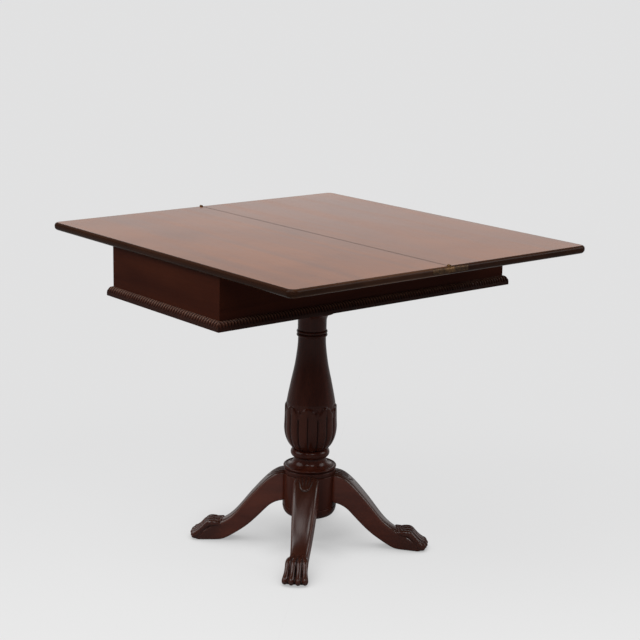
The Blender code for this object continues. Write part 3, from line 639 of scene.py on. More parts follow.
# gadrooned moulding round the frame
mouldingSizes = {
    "band": 0.0080, "bandRound": 0.0005, "bandSteps": 4, "bandShade": 0.55, "bandSmooth": 35,
    "lobeLow": 0.0078, "lobeHigh": 0.0213, "lobeOut": 0.96, "lobeFoot": 0.0004, "lobeSmooth": 60,
    "across": 6, "rows": 9, "evenShare": 0.7, "valley": 0.50, "valleyStart": 0.06, "valleyShade": 0.95,
    "footShade": 0.6, "footReach": (0.30, 0.05), "sheenAcross": (0.80, 1.0), "sheenUp": (0.22, 0.52),
    "mitreGap": 0.0002,
}
lobeSizes = {  # on the long and the short sides of the frame
    "long": {"pitch": 0.0079, "lean": -0.0042, "bow": 0.0013},
    "short": {"pitch": 0.0090, "lean": 0.0012, "bow": 0.0008},
}
mouldingTurns = {"front": 0, "right": 90, "back": 180, "left": 270}
halfLength, halfWidth = boxOf("right_apron")[1][0], boxOf("back_apron")[1][1]  # of the frame


def makeLobeCell(lobe, out, foot):
    size = mouldingSizes
    across, rows = size["across"], size["rows"]
    clearSelection()
    bpy.ops.mesh.primitive_grid_add(x_subdivisions=across, y_subdivisions=rows, size=1)
    cell = nameNew("lobe")
    tall = size["lobeHigh"] - size["lobeLow"]
    bpy.ops.object.mode_set(mode="EDIT")
    mesh = bmesh.from_edit_mesh(cell.data)
    shadeAndDirtMark = mesh.verts.layers.float.new("shadeAndDirtMark")
    wearAndSheen = mesh.verts.layers.float.new("wearAndSheen")
    for point in mesh.verts:
        k = round((point.co.x + 0.5) * across)
        row = round((point.co.y + 0.5) * rows)
        even, swell = size["evenShare"], sin(pi * k / across)
        along = lobe["pitch"] * (even * k / across + (1 - even) / 2 * (1 - cos(pi * k / across)))
        if row in (0, rows):  # the back, against the apron
            stand, rise, t = 0.0, 0.0, 0.0
        elif row == rows - 1:
            stand, rise, t = 0.0, tall, 1.0
        else:
            t = (row - 1) / (rows - 3)
            dip = sin(pi * (size["valleyStart"] + (1 - 2 * size["valleyStart"]) * t))
            share = 1 - (1 - size["valley"]) * (1 - swell) * dip
            stand = out * size["lobeOut"] * share * cos(pi / 2 * t) + size["lobeFoot"]
            rise = tall * share * sin(pi / 2 * t)
        slide = lobe["lean"] * t + lobe["bow"] * sin(pi * t)
        point.co = (along + slide, -stand - fit, foot + size["lobeLow"] + rise)
        # painted shade in the valleys and at the foot of the lobes; wear with painted sheen on their crests
        point[shadeAndDirtMark] = max(1 - softStep(swell, 0, size["valleyShade"]),
                            size["footShade"] * softStep(t, *size["footReach"]))
        point[wearAndSheen] = softStep(swell, *size["sheenAcross"]) * softStep(t, *size["sheenUp"])
    bmesh.update_edit_mesh(cell.data)
    endEdit()
    cleanMesh(cell, near / 10)
    return cell


def makeMoulding(side, turn):
    size = mouldingSizes
    low, high = boxOf(side + "_moulding")
    foot, out = low[2], min(high[0] - low[0], high[1] - low[1])
    isLong = turn % 180 == 0
    half, distance = (halfLength, halfWidth) if isLong else (halfWidth, halfLength)
    lobe = lobeSizes["long" if isLong else "short"]
    pitch, lean = lobe["pitch"], lobe["lean"]
    reach = half + fit + out
    cell = makeLobeCell(lobe, out, foot)
    count = ceil((2 * reach + abs(lean) + 2 * lobe["bow"]) / pitch) + 2  # two to spare for the mitres
    cell.location.x = -count * pitch / 2 - lean / 2
    applyPlace(cell)
    applyModifier(cell, "ARRAY", count=count, use_relative_offset=False, use_constant_offset=True,
                  constant_offset_displace=(pitch, 0, 0), use_merge_vertices=True, merge_threshold=near)
    outer = -fit - out
    band = addBlock("band", (-reach - over, outer, foot), (reach + over, -fit, foot + size["band"]))
    startEdit(band)
    roundEdges(band, lambda a, b: bothAt(a, b, 1, outer) and abs(a.x - b.x) > near,
               size["bandRound"], size["bandSteps"])
    endEdit()
    for strip in (cell, band):  # mitre both ends
        startEdit(strip)
        for end in (-1, 1):
            bpy.ops.mesh.select_all(action="SELECT")
            bpy.ops.mesh.bisect(plane_co=(end * (half - size["mitreGap"]), 0, 0), plane_no=(end, 1, 0),
                                use_fill=True, clear_outer=True)
        endEdit()
    smoothShade(cell, size["lobeSmooth"])
    smoothShade(band, size["bandSmooth"])
    # the band is darker all over: painted shade
    markPoints(band, "shadeAndDirtMark", lambda co: size["bandShade"])
    markPoints(band, "wearAndSheen", lambda co: 0.0)
    strip = joinPieces([cell, band], side + "_gadroon")
    strip.matrix_world = Matrix.Rotation(radians(turn), 4, "Z") @ Matrix.Translation((0, -distance, 0))
    applyPlace(strip)
    return strip


for side, turn in mouldingTurns.items():
    fitPiece(makeMoulding(side, turn), "mouldingWood", side + "_moulding")
print("mouldings made")


# turned and carved column
columnSizes = {  # names with Top or Low are heights above the floor
    "tenon": 0.019, "tenonEase": 0.0010, "flange": 0.052, "flangeLow": 0.5656, "flangeRound": 0.0015,
    "flangeEase": 0.0010, "coveInset": 0.0030, "coveLow": 0.5456, "collar": 0.0335, "collarStep": 0.0006,
    "beads": 2, "beadsTop": 0.5246, "bead": 0.0361, "beadTall": 0.008, "beadGap": 0.0003,
    "neck": 0.0323, "vaseTop": 0.5086, "vaseSwell": 0.98, "vaseGap": 0.003, "shoulder": 0.0580,
    "bulbTop": 0.3415, "bulbStart": -0.08, "bulbTip": 0.0612, "tipFall": 0.0002, "bulb": 0.0623,
    "bulbFoot": 0.0421, "ringTop": 0.2380, "ring": 0.0460, "ringGap": 0.0004, "waistTop": 0.2170,
    "waist": 0.0376, "coveFoot": 0.0566, "capTop": 0.1956, "lip": 0.0594, "lipTop": 0.1969, "lipHalf": 0.0026,
    "groove": 0.0588, "grooveTall": 0.0012, "rim": 0.0615, "rimTop": 0.1882, "rimEase": (0.0006, 0.0007),
    "turnSteps": 192, "smooth": 40,
}
# share of the way down, share of the swell there
vaseShape = ((0.0, 0.0), (0.16, 0.05), (0.42, 0.27), (0.67, 0.60), (0.86, 0.84), (1.0, 1.0))
bulbSide = ((0.08, 0.0), (0.34, 0.5), (0.52, 1.0))
bulbUnder = ((0.70, 0.87), (0.845, 0.58), (0.94, 0.26), (1.0, 0.0))
carvingSizes = {
    "leaves": 8, "tip": 0.3465, "base": 0.3190, "tipPower": 2.4, "tipSoft": 0.0025, "above": 0.002,
    "backTip": 0.3400, "backBase": 0.3150, "backShare": 0.5, "backPower": 1.6, "backSoft": 0.0017,
    "backRaise": 0.0016, "groove": 0.0024, "grooveWide": 0.0014, "grooveFade": 0.016, "crown": 0.0012,
    "creaseTop": 0.3345, "crease": 0.0018, "creaseFade": 0.012, "footFade": 0.45, "footFrom": 0.6,
    "vaseShare": 0.982, "vaseFlare": 0.055, "fineStep": 0.0013, "coarseStep": 0.0030, "lastStep": 0.0005,
    "core": 0.03, "wearAndSheen": 0.25, "lineShade": 0.5, "lineReach": 0.0008,
}
columnTop = boxOf("column_block")[0][2] - fit
columnLow = boxOf("hub")[1][2] + fit


def bulbRadius(height):
    size = columnSizes
    down = (size["bulbTop"] - height) / (size["bulbTop"] - size["ringTop"])
    belly, fall = size["bulb"] - size["bulbTip"], size["bulb"] - size["bulbFoot"]
    rows = [(size["bulbStart"], size["bulbTip"] - size["tipFall"])]
    rows += [(share, size["bulbTip"] + belly * out) for share, out in bulbSide]
    rows += [(share, size["bulbFoot"] + fall * out) for share, out in bulbUnder]
    curve = smoothCurve(rows, 8)
    for before, after in zip(curve, curve[1:]):
        if before.x <= down <= after.x:
            return before.y + (after.y - before.y) * (down - before.x) / (after.x - before.x)
    return size["bulbFoot"]


def columnProfile():
    size, carving = columnSizes, carvingSizes
    (cap, _, tenonTop), tenonLow = boxOf("column")[1], boxOf("column")[0][2]
    tenon, flange, flangeLow, neck = size["tenon"], size["flange"], size["flangeLow"], size["neck"]
    ease, bend, turn = size["tenonEase"], size["flangeRound"], size["flangeEase"]
    rows = [(0, tenonTop), (tenon - ease, tenonTop), (tenon, tenonTop - ease)]
    rows += [(tenon, columnTop), (flange - bend, columnTop)]
    rows += arcPoints((flange - bend, columnTop - bend), (bend, bend), 90, 0, 4)[1:]
    rows += arcPoints((flange - turn, flangeLow + turn), (turn, turn), 0, -90, 3)
    rows += [(flange - size["coveInset"], flangeLow)]
    cove = (flange - size["coveInset"], size["coveLow"])
    rows += arcPoints(cove, (cove[0] - size["collar"], flangeLow - cove[1]), 90, 180, 12)[1:]
    rows += [(size["collar"], size["beadsTop"] + size["collarStep"]), (neck, size["beadsTop"])]
    for i in range(size["beads"]):
        middle = size["beadsTop"] - size["beadTall"] * (i + 0.5)
        swell = (size["bead"] - neck, size["beadTall"] / 2 - size["beadGap"])
        rows += arcPoints((neck, middle), swell, 90, -90, 10)
    tall = size["vaseTop"] - carving["tip"] - size["vaseGap"]
    swell = (size["shoulder"] - neck) * size["vaseSwell"]
    vase = [(neck + swell * out, size["vaseTop"] - tall * down) for down, out in vaseShape]
    rows += [tuple(point) for point in smoothCurve(vase, 5)]
    height = carving["tip"] + carving["above"]
    while height > size["ringTop"] + carving["lastStep"]:  # fine rows where the leaves are carved
        rows.append((bulbRadius(height), height))
        height -= carving["fineStep"] if height > carving["backBase"] else carving["coarseStep"]
    ring = (size["ringTop"] + size["waistTop"]) / 2
    swell = (size["ring"] - size["waist"], size["ringTop"] - ring - size["ringGap"])
    rows += arcPoints((size["waist"], ring), swell, 90, -90, 14)
    sweep = (size["coveFoot"] - size["waist"], size["waistTop"] - size["capTop"])
    rows += arcPoints((size["coveFoot"], size["waistTop"]), sweep, 180, 270, 14)[1:]
    lip = (size["lip"], size["lipTop"] - size["lipHalf"])
    rows += arcPoints(lip, (cap - size["lip"], size["lipHalf"]), 140, -80, 16)
    groove, rim, rimTop = size["groove"], size["rim"], size["rimTop"]
    easeIn, easeDown = size["rimEase"]
    rows += [(groove, rimTop + size["grooveTall"]), (groove, rimTop)]
    rows += [(rim - easeIn, rimTop), (rim, rimTop - easeDown)]
    rows += [(rim, columnLow + easeDown), (rim - easeIn, columnLow), (tenon, columnLow)]
    return rows + [(tenon, tenonLow), (0, tenonLow)]


def carveBulb(column):
    size, carving = columnSizes, carvingSizes
    shadeAndDirtMark, wearAndSheen = newMarks(column, "shadeAndDirtMark", "wearAndSheen")
    step = 2 * pi / carving["leaves"]
    grooveMiddle = size["rimTop"] + size["grooveTall"] / 2
    for point in column.data.vertices:
        radius, height = sqrt(point.co.x**2 + point.co.y**2), point.co.z
        if radius < carving["core"]:
            continue
        # painted shade along the groove under the lip and at the foot of the column
        if abs(height - grooveMiddle) < carving["lineReach"] or height < columnLow + carving["lineReach"]:
            shadeAndDirtMark[point.index].value = carving["lineShade"]
        if not size["ringTop"] < height < carving["tip"] + carving["tipSoft"]:
            continue
        angle = Vector((point.co.x, point.co.y)).angle_signed(Vector((1, 0)))
        share = ((angle / step + 0.5) % 1) * 2 - 1  # nothing at a leaf's middle, one where it meets the next
        wide = radius * step / 2
        edge = (1 - abs(share)) * wide
        tip = carving["base"] + (carving["tip"] - carving["base"]) * (1 - abs(share)**carving["tipPower"])
        inside = softStep(height, tip + carving["tipSoft"], tip - carving["tipSoft"])
        inBack = 0.0
        if edge < carving["backShare"] * wide:  # the tip of a leaf behind, between two others
            rise = 1 - (edge / (carving["backShare"] * wide))**carving["backPower"]
            behind = carving["backBase"] + (carving["backTip"] - carving["backBase"]) * rise
            inBack = softStep(height, behind + carving["backSoft"], behind - carving["backSoft"])
        down = (size["bulbTop"] - height) / (size["bulbTop"] - size["ringTop"])
        fade = 1 - carving["footFade"] * softStep(down, carving["footFrom"], 1)
        groove = exp(-(edge / carving["grooveWide"])**2)
        crease = exp(-(share * wide / carving["grooveWide"])**2)
        crease *= softStep(height, carving["creaseTop"], carving["creaseTop"] - carving["creaseFade"])
        hollowed = carving["groove"] * groove + carving["crease"] * crease
        hollowed += carving["crown"] * (1 - sin(pi * abs(share)))
        leaf = radius - fade * hollowed
        vase = size["shoulder"] * carving["vaseShare"]
        vase += carving["vaseFlare"] * max(0, carving["tip"] + carving["above"] - height)
        vase = min(vase + carving["backRaise"] * inBack, radius)
        carved = leaf * inside + vase * (1 - inside)
        point.co.x *= carved / radius
        point.co.y *= carved / radius
        rim = 4 * inside * (1 - inside)
        groove *= softStep(height, carving["creaseTop"], carving["creaseTop"] - carving["grooveFade"])
        # painted shade in the leaves' grooves and creases; wear with painted sheen on their middles
        shadeAndDirtMark[point.index].value = max(groove, crease) * inside
        wearAndSheen[point.index].value = carving["wearAndSheen"] * inside * sin(pi * abs(share))**2 * (1 - rim)


column = spinProfile("turned_column", columnProfile(), columnSizes["turnSteps"])
carveBulb(column)
smoothShade(column, columnSizes["smooth"])
fitPiece(column, "columnWood", "column")
print("column turned and carved")


# hub and the disc under it
hubSizes = {
    "proud": 0.0008, "ease": 0.0010, "discEase": 0.0008, "discFoot": 0.050, "turnSteps": 128, "smooth": 40,
}
hubRadius = boxOf("hub")[1][0]


def hubProfile():
    (_, _, low), (_, _, top) = boxOf("hub")
    ease, bore = hubSizes["ease"], columnSizes["tenon"] + fit
    socket, side = boxOf("column")[0][2] - fit, hubRadius + hubSizes["proud"] - ease
    rows = [(bore, socket), (bore, top), (side, top)]
    rows += arcPoints((side, top - ease), (ease, ease), 90, 0, 4)[1:]
    rows += arcPoints((side, low + ease), (ease, ease), 0, -90, 4)
    return rows + [(0, low), (0, socket), (bore, socket)]


def discProfile():
    (_, _, low), (_, _, top) = boxOf("hub_base")
    ease, foot = hubSizes["discEase"], hubSizes["discFoot"]
    radius = hubRadius + hubSizes["proud"]
    rows = [(0, top), (radius - ease, top)]
    rows += arcPoints((radius - ease, top - ease), (ease, ease), 90, 0, 3)[1:]
    rows += arcPoints((foot, top - ease), (radius - foot, top - ease - low), 0, -90, 14)[1:]
    return rows + [(0, low)]


for name, profile, node in (("turned_hub", hubProfile(), "hub"), ("turned_disc", discProfile(), "hub_base")):
    turned = spinProfile(name, profile, hubSizes["turnSteps"])
    smoothShade(turned, hubSizes["smooth"])
    fitPiece(turned, "columnWood", node)
print("hub and disc turned")


# legs with carved knees and paw feet
legSizes = {
    "crown": 0.0026, "arris": 0.0042, "arrisFrom": 0.80, "arrisPower": 6, "mostDrop": 0.6, "subdivide": 2,
    "voxel": 0.0011, "smooth": 2, "smoothFactor": 0.5, "sole": 0.0004, "grainShift": (0.013, 0.007, 0),
    "toes": 4, "toeStep": 0.0137, "toeArc": 0.0040, "toeSides": 14, "toeSteps": 3,
    "tufts": (-1.4, -1, 0, 1, 1.4),
}
topSpread = (-1.0, -0.97, -0.86, -0.55, 0.0, 0.55, 0.86, 0.97, 1.0)  # over the crowned top
sideSpread = (  # down one side, below and up the other: share down, share of half the width
    (0.30, 1.0), (0.65, 1.0), (0.94, 1.0), (1.0, 0.95), (1.0, 0.45),
    (1.0, -0.45), (1.0, -0.95), (0.94, -1.0), (0.65, -1.0), (0.30, -1.0),
)
legSections = (  # out from the hub and height of the upper line, the same below, half width
    (-0.012, 0.1857, -0.012, 0.1117, 0.0292),
    (0.004, 0.1826, 0.002, 0.1096, 0.0291),
    (0.015, 0.1795, 0.011, 0.1072, 0.0290),
    (0.026, 0.1725, 0.020, 0.1030, 0.0288),
    (0.037, 0.1635, 0.029, 0.0970, 0.0284),
    (0.048, 0.1525, 0.038, 0.0880, 0.0279),
    (0.059, 0.1405, 0.047, 0.0780, 0.0272),
    (0.082, 0.1140, 0.064, 0.0595, 0.0255),
    (0.104, 0.0845, 0.0855, 0.0383, 0.0233),
    (0.124, 0.0620, 0.109, 0.0215, 0.0213),
    (0.143, 0.0490, 0.131, 0.0070, 0.0201),
    (0.156, 0.0440, 0.145, 0.0000, 0.0203),
    (0.170, 0.0378, 0.166, 0.0000, 0.0232),
    (0.183, 0.0310, 0.180, 0.0000, 0.0254),
    (0.195, 0.0200, 0.192, 0.0000, 0.0268),
    (0.205, 0.0110, 0.202, 0.0000, 0.0270),
    (0.211, 0.0065, 0.208, 0.0010, 0.0258),
)
toePath = (  # out from the hub, height, side step as a share, radius across, radius up
    (0.152, 0.0385, 0.80, 0.0046, 0.0046),
    (0.162, 0.0412, 0.85, 0.0064, 0.0066),
    (0.172, 0.0415, 0.90, 0.0074, 0.0078),
    (0.182, 0.0398, 0.94, 0.0072, 0.0084),
    (0.191, 0.0320, 0.98, 0.0062, 0.0072),
    (0.199, 0.0240, 1.02, 0.0060, 0.0070),
    (0.207, 0.0155, 1.07, 0.0071, 0.0090),
    (0.2130, 0.0105, 1.10, 0.0076, 0.0094),
    (0.2178, 0.0082, 1.11, 0.0062, 0.0066),
    (0.2205, 0.0072, 1.12, 0.0036, 0.0038),
)
nailPath = (
    (0.2110, 0.0205, 1.10, 0.0022, 0.0014),
    (0.2170, 0.0180, 1.11, 0.0031, 0.0021),
    (0.2205, 0.0140, 1.12, 0.0029, 0.0020),
    (0.2220, 0.0095, 1.12, 0.0015, 0.0012),
)
tuftPath = (  # hair between the toes, pointing up the leg
    (0.172, 0.0400, 0.92, 0.0030, 0.0034),
    (0.162, 0.0452, 0.88, 0.0030, 0.0030),
    (0.154, 0.0478, 0.85, 0.0020, 0.0018),
    (0.147, 0.0490, 0.84, 0.0007, 0.0007),
)
kneeSizes = {
    "reach": 0.075, "facing": 0.1, "length": 0.037, "width": 0.0175, "tipPower": 2.6, "sideSlope": 1.6,
    "edgeSoft": 0.0011, "raise": 0.0009, "cut": 0.0009, "cutOut": 0.0012, "cutWide": 0.0013,
    "fluteStep": 0.0105, "fluteDraw": 0.45, "fluteCut": 0.0011, "fluteEnd": (0.004, 0.014), "dirtAndShade": 0.6,
}
pawSizes = {
    "start": 0.152, "spread": 0.80, "spreadRise": 4.6, "outerGroove": 1.5,
    "dirtAndShade": 0.9, "shadeAcross": (0.24, 0.02), "shadeOut": (0.156, 0.166),
    "wearAndSheen": 0.35, "sheenAcross": (0.32, 0.48), "sheenFacing": (0.2, 0.7),
}
legMarks = {
    "stain": 0.75, "stainFacing": (0.05, 0.75), "footDarkening": 0.55, "footOut": (0.105, 0.185),
    "edgeWearAndSheen": 0.45, "edgeOut": (0.004, 0.024), "edgeUp": 0.2, "edgeAside": 0.25,
}


def legRing(section):
    size = legSizes
    topOut, topHeight, lowOut, lowHeight, wide = section
    top = Vector((hubRadius + topOut, 0, topHeight))
    low = Vector((hubRadius + lowOut, 0, lowHeight))
    up = (top - low).normalized()
    tall = (top - low).length
    ring = []
    for v in topSpread:
        drop = size["crown"] * v**2
        drop += size["arris"] * softStep(abs(v), size["arrisFrom"], 1) * abs(v)**size["arrisPower"]
        place = top - up * min(drop, tall * size["mostDrop"])
        ring.append((place.x, wide * v, place.z))
    for share, v in sideSpread:
        place = top + (low - top) * share
        ring.append((place.x, wide * v, place.z))
    return ring


def sweepToe(path, side, name):
    size = legSizes
    rows = smoothCurve(path, size["toeSteps"])
    back = size["toeArc"] * (side / (size["toes"] - 1) * 2)**2  # outer toes stand a little back
    turns = [2 * pi * k / size["toeSides"] for k in range(size["toeSides"])]
    rings = []
    for i, row in enumerate(rows):
        before, after = rows[max(0, i - 1)], rows[min(len(rows) - 1, i + 1)]
        run = Vector((after[0] - before[0], 0, after[1] - before[1])).normalized()
        up = Vector((-run.z, 0, run.x))
        centre = Vector((hubRadius + row[0] - back, side * size["toeStep"] * row[2], row[1]))
        rings.append([centre + Vector((0, row[3] * cos(a), 0)) + up * row[4] * sin(a) for a in turns])
    return extrudeRings(name, rings)


def carveKnee(co, normal, out):  # the point's new place, and the dirt with painted shade in the cut and the flutes
    knee = kneeSizes
    aside = abs(co.y)
    end = knee["length"] * sqrt(max(0, 1 - min(1, aside / knee["width"])**knee["tipPower"]))
    gap = min(end - out, (knee["width"] - aside) * knee["sideSlope"])
    inside = softStep(gap, -knee["edgeSoft"], knee["edgeSoft"])
    cut = exp(-((gap + knee["cutOut"]) / knee["cutWide"])**2)
    # the flutes draw together towards the tip
    spread = 1 - knee["fluteDraw"] * softStep(out, 0, knee["length"])
    flute = (0.5 + 0.5 * cos(2 * pi * co.y / (knee["fluteStep"] * spread)))**2
    flute *= inside * softStep(out, *(knee["length"] - back for back in knee["fluteEnd"]))
    move = knee["raise"] * inside - knee["cut"] * cut - knee["fluteCut"] * flute
    return co + normal * move, min(1, knee["dirtAndShade"] * (cut + flute))


def pawMarks(co, normal, out):  # dirt with painted shade between the toes, and wear with painted sheen on top of them
    paw = pawSizes
    width = legSizes["toeStep"] * (paw["spread"] + (out - paw["start"]) * paw["spreadRise"])
    between = abs((co.y / width + 0.5) % 1 - 0.5)  # nothing at a groove between two toes
    if abs(co.y) > paw["outerGroove"] * width:
        between = 0.5  # the outer sides have none
    dirtAndShade = paw["dirtAndShade"] * softStep(between, *paw["shadeAcross"]) * softStep(out, *paw["shadeOut"])
    return dirtAndShade, paw["wearAndSheen"] * softStep(between, *paw["sheenAcross"]) * softStep(normal.z, *paw["sheenFacing"])


def carveLeg(leg):
    marks = legMarks
    leg.data.attributes.new("grain", "FLOAT_VECTOR", "POINT")
    shadeAndDirtMark, wearAndSheen, stain = newMarks(leg, "shadeAndDirtMark", "wearAndSheen", "stain")
    grain = leg.data.attributes["grain"].data
    normals = [point.normal.copy() for point in leg.data.vertices]
    for i, (point, normal) in enumerate(zip(leg.data.vertices, normals)):
        co = point.co
        out = co.x - hubRadius
        grain[i].vector = co
        if co.z < legSizes["sole"]:
            co.z = 0.0
        upwardShade = marks["stain"] * softStep(normal.z, *marks["stainFacing"])  # painted shade: darkest where the faces look up
        # the stain mark holds this painted shade, and the feet darker towards the toes
        stain[i].value = max(upwardShade, marks["footDarkening"] * softStep(out, *marks["footOut"]))
        if out < kneeSizes["reach"] and normal.z > kneeSizes["facing"]:
            point.co, shadeAndDirtMark[i].value = carveKnee(co, normal, out)
        if out > pawSizes["start"]:
            shadeAndDirtMark[i].value, wearAndSheen[i].value = pawMarks(co, normal, out)
        # wear with painted sheen along the upper arrises
        elif abs(normal.z) > marks["edgeUp"] and abs(normal.y) > marks["edgeAside"]:
            wearAndSheen[i].value = marks["edgeWearAndSheen"] * softStep(out, *marks["edgeOut"])


def makeLeg():
    size = legSizes
    body = extrudeRings("leg_shape", [legRing(section) for section in legSections])
    applyModifier(body, "SUBSURF", levels=size["subdivide"], render_levels=size["subdivide"])
    toes = []
    for i in range(size["toes"]):
        side = i - (size["toes"] - 1) / 2
        toes.append(sweepToe(toePath, side, "toe"))
        toes.append(sweepToe(nailPath, side, "nail"))
    for side in size["tufts"]:
        toes.append(sweepToe(tuftPath, side, "tuft"))
    leg = joinPieces([body] + toes, "leg_shape")
    applyModifier(leg, "REMESH", mode="VOXEL", voxel_size=size["voxel"], use_smooth_shade=True)
    applyModifier(leg, "SMOOTH", factor=size["smoothFactor"], iterations=size["smooth"])
    carveLeg(leg)
    takeUp(leg)
    bpy.ops.object.shade_smooth()
    return leg


legPattern = makeLeg()
for node, angle in (("leg_back", 45), ("leg_left", 135), ("leg_front", 225), ("leg_right", 315)):
    leg = copyPiece(legPattern, node + "_carved", Matrix.Rotation(radians(angle), 4, "Z"))
    for mark in leg.data.attributes["grain"].data:  # each leg from another part of the wood
        mark.vector = Vector(mark.vector) + angle * Vector(legSizes["grainShift"])
    fitPiece(leg, "legWood", node)
bpy.data.objects.remove(legPattern)
print("legs made:", len(leg.data.polygons), "faces each")


# slotted countersunk screws
screwSizes = {  # in shank radii, apart from the point, a share of the length
    "head": 2, "crown": 0.10, "cone": 1.4, "slotWide": 0.32, "slotDeep": 0.42, "point": 0.8,
    "turnSteps": 28, "smooth": 30,
}
# share of the head's radius out, share of the crown down
screwDome = ((0, 0), (0.6, 0.3), (0.93, 1.0), (1.0, 1.8), (1.0, 2.4))
screwSets = (  # start of the nodes' names, which way the head faces, finish
    ("hinge_screw_lower_front", (0, -1, 0), "agedBrass"),
    ("hinge_screw_lower_back", (0, 1, 0), "agedBrass"),
    ("hinge_screw_upper_front", (0, -1, 0), "agedBrass"),
    ("hinge_screw_upper_back", (0, 1, 0), "agedBrass"),
    ("pivot_plate_screw", (0, 0, -1), "darkIron"),
    ("hub_base_screw", (0, 0, -1), "darkIron"),
)
slotTurns = (23, 68, -35, 80, 12, -62, 41, 7)  # slots seldom line up


def makeScrew(head, length):
    size = screwSizes
    radius = head / size["head"]
    crown = size["crown"] * radius
    rows = [(head * out, -crown * down) for out, down in screwDome]
    rows += [(radius, -size["cone"] * radius), (radius, -length * size["point"]), (0, -length)]
    screw = spinProfile("screw_pattern", rows, size["turnSteps"])
    wide, deep = size["slotWide"] * radius, size["slotDeep"] * radius
    cutAway(screw, addBlock("slot", (-head - radius, -wide, -deep), (head + radius, wide, radius)))
    smoothShade(screw, size["smooth"])
    return screw


screwPatterns = {}
placed = 0
for start, facing, finish in screwSets:
    direction = Vector(facing)
    turn = direction.to_track_quat("Z", "Y").to_matrix().to_4x4()
    for node in sorted(n for n in frame["nodes"] if n.startswith(start + "_")):
        low, high = (Vector(corner) for corner in boxOf(node))
        reach = (high - low) / 2
        length = round(2 * abs(reach.dot(direction)), 6)
        head = round(reach.x, 6)
        if (head, length) not in screwPatterns:
            screwPatterns[(head, length)] = makeScrew(head, length)
        face = (low + high) / 2 + direction * length / 2
        slotTurn = Matrix.Rotation(radians(slotTurns[placed % len(slotTurns)]), 4, "Z")
        screw = copyPiece(screwPatterns[(head, length)], node + "_slotted",
                          Matrix.Translation(face) @ turn @ slotTurn)
        fitPiece(screw, finish, node)
        placed += 1
for pattern in screwPatterns.values():
    bpy.data.objects.remove(pattern)
print("screws placed:", placed)


# camera, at the photograph's place
cameraLook = {
    "place": (-2.28393, -2.82822, 1.41139), "yaw": 39.203, "pitch": 13.384, "roll": 1.055,
    "lens": 90.653, "sensor": 36, "reach": 500,
}


def setCamera(look):
    yaw, pitch, roll = (radians(look[key]) for key in ("yaw", "pitch", "roll"))
    forward = Vector((cos(pitch) * sin(yaw), cos(pitch) * cos(yaw), -sin(pitch)))
    level = Vector((cos(yaw), -sin(yaw), 0))
    upright = level.cross(forward)
    right = cos(roll) * level + sin(roll) * upright
    up = -sin(roll) * level + cos(roll) * upright
    bpy.ops.object.camera_add()
    camera = nameNew("photoCamera")
    turn = Matrix((right, up, -forward)).transposed().to_4x4()
    camera.matrix_world = Matrix.Translation(look["place"]) @ turn
    camera.data.sensor_width = look["sensor"]
    camera.data.lens = look["lens"]
    camera.data.clip_end = look["reach"]
    scene.camera = camera


# floor, light and background
studioLook = {
    "floorSize": 400, "floorDrop": 0.0002, "floor": (0.80, 0.80, 0.80), "shadowShare": 0.09,
    "near": (0.815, 0.815, 0.815), "far": (0.742, 0.742, 0.745), "fade": (-0.9, 0.7),
    "viewLine": (0.632, 0.775), "contact": 0.13, "contactRange": (0.25, 0.92), "contactDark": 0.58,
    # painted shadow pools on the floor round the hub and the legs
    "shadowPools": (((0.09, 0.035, 0), 0.19, 0.24), ((-0.03, 0.165, 0), 0.20, 0.17)),  # middle, reach, darkness
    "bounce": (0.30, 0.30, 0.30), "gloss": 0.06,
    "ambient": (0.117, 0.351), "ambientColour": (1.0, 0.995, 0.99), "windowLine": (0.4, 0.75),
    "windowRange": (-0.8, 0.8), "roomRange": (-0.2, 0.8), "room": (0.16, 0.10), "backdropRange": (0.45, 0.88),
    "mirrored": (  # what polished wood mirrors: height in the backdrop, colour
        (0.0, (0.80, 0.80, 0.80)), (0.10, (0.94, 0.93, 0.925)), (0.153, (0.87, 0.86, 0.85)),
        (0.180, (0.66, 0.65, 0.64)), (0.207, (0.50, 0.49, 0.48)), (0.26, (0.36, 0.355, 0.35)),
        (0.45, (0.12, 0.12, 0.12)), (1.0, (0.20, 0.20, 0.20)),
    ),
    "sunAway": 4,
    "suns": {  # where the light comes from, its strength, its angle
        "overhead": ((-0.30, 0.20, 1.0), 1.45, 52),
        "leftWindow": ((-1.0, 0.55, 0.75), 0.85, 40),
        "rightWindow": ((0.72, -0.55, 0.55), 0.62, 30),
        "frontLeft": ((-0.84, -0.54, 1.03), 0.40, 17),
        "frontRight": ((-0.36, -0.93, 1.03), 0.40, 17),
    },
}


def addSun(name, source, strength, angle):
    bpy.ops.object.light_add(type="SUN", location=Vector(source) * studioLook["sunAway"])
    sun = nameNew(name)
    sun.rotation_euler = Vector(source).to_track_quat("Z", "Y").to_euler()
    sun.data.energy = strength
    sun.data.angle = radians(angle)


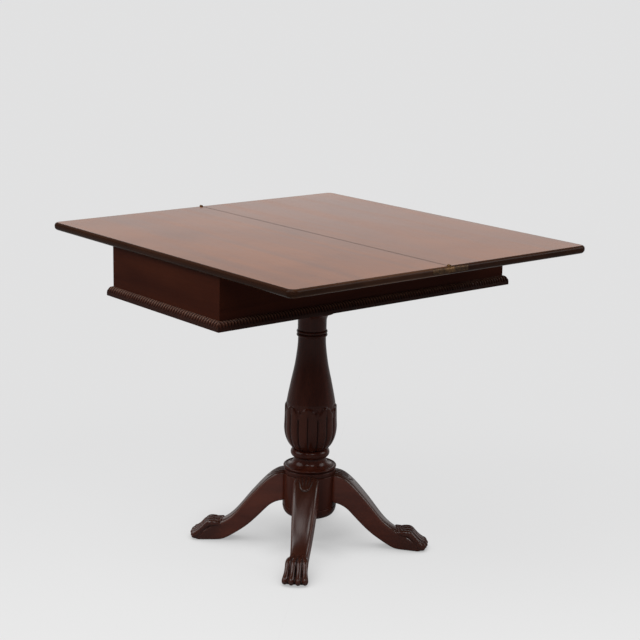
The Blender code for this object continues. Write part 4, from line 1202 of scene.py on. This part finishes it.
def makeFloor(look):
    clearSelection()
    bpy.ops.mesh.primitive_plane_add(size=look["floorSize"], location=(0, 0, -look["floorDrop"]))
    floor = nameNew("pale_floor")
    material = bpy.data.materials.new("paleFloor")
    tree = startNodes(material)
    path = addNode(tree, "LightPath").outputs
    dim = addMath(tree, "MULTIPLY", path["Is Glossy Ray"], look["gloss"])
    seen = addMath(tree, "MAXIMUM", path["Is Camera Ray"],
                   addMath(tree, "MAXIMUM", dim, path["Is Transmission Ray"]))
    coords = addNode(tree, "TexCoord").outputs["Object"]
    ahead = mixAxes(tree, splitAxes(tree, coords), *look["viewLine"])
    tint = addMix(tree, addRange(tree, ahead, *look["fade"], 0.0, 1.0), look["near"], look["far"])
    # shadow close to the feet and the hub
    touch = addNode(tree, "AmbientOcclusion", {"Distance": look["contact"]})
    shade = addRange(tree, touch.outputs["AO"], *look["contactRange"], look["contactDark"], 1.0)
    for middle, reach, dark in look["shadowPools"]:  # painted soft shadow of the hub and the legs
        away = addNode(tree, "VectorMath", {0: coords, 1: middle}, operation="DISTANCE").outputs["Value"]
        shade = addMath(tree, "MULTIPLY", shade, addRange(tree, away, 0.0, reach, 1 - dark, 1.0))
    paint = addNode(tree, "BsdfDiffuse", {"Color": look["floor"]})
    glow = addNode(tree, "Emission", {"Color": tint, "Strength": shade})
    shown = mixShaders(tree, 1 - look["shadowShare"], paint, glow)
    bounce = addNode(tree, "BsdfDiffuse", {"Color": look["bounce"]})
    whole = mixShaders(tree, seen, bounce, shown)
    addNode(tree, "OutputMaterial", {"Surface": whole.outputs[0]})
    floor.data.materials.append(material)


def makeWorld(look):
    scene.world = bpy.data.worlds.new("studio")
    tree = startNodes(scene.world)
    axes = splitAxes(tree, addNode(tree, "TexCoord").outputs["Generated"])
    path = addNode(tree, "LightPath").outputs
    plain = addMath(tree, "MAXIMUM", path["Is Camera Ray"], path["Is Transmission Ray"])
    seen = addMath(tree, "MAXIMUM", plain, path["Is Glossy Ray"])
    mirrored = addRamp(tree, axes["Z"], look["mirrored"])
    around = addRange(tree, axes["Z"], *look["roomRange"], *look["room"])  # dimmer away from the backdrop
    ahead = addRange(tree, mixAxes(tree, axes, *look["viewLine"]), *look["backdropRange"], 0.0, 1.0)
    backdrop = addMix(tree, plain, addMix(tree, ahead, around, mirrored), look["far"])
    level = addRange(tree, mixAxes(tree, axes, *look["windowLine"]), *look["windowRange"], *look["ambient"])
    soft = addNode(tree, "Background", {"Color": look["ambientColour"], "Strength": level})
    shown = addNode(tree, "Background", {"Color": backdrop})
    whole = mixShaders(tree, seen, soft, shown)
    addNode(tree, "OutputWorld", {"Surface": whole.outputs[0]})


clearSelection()
setCamera(cameraLook)
makeFloor(studioLook)
makeWorld(studioLook)
for sunName, (source, strength, angle) in studioLook["suns"].items():
    addSun(sunName, source, strength, angle)
print("studio set")
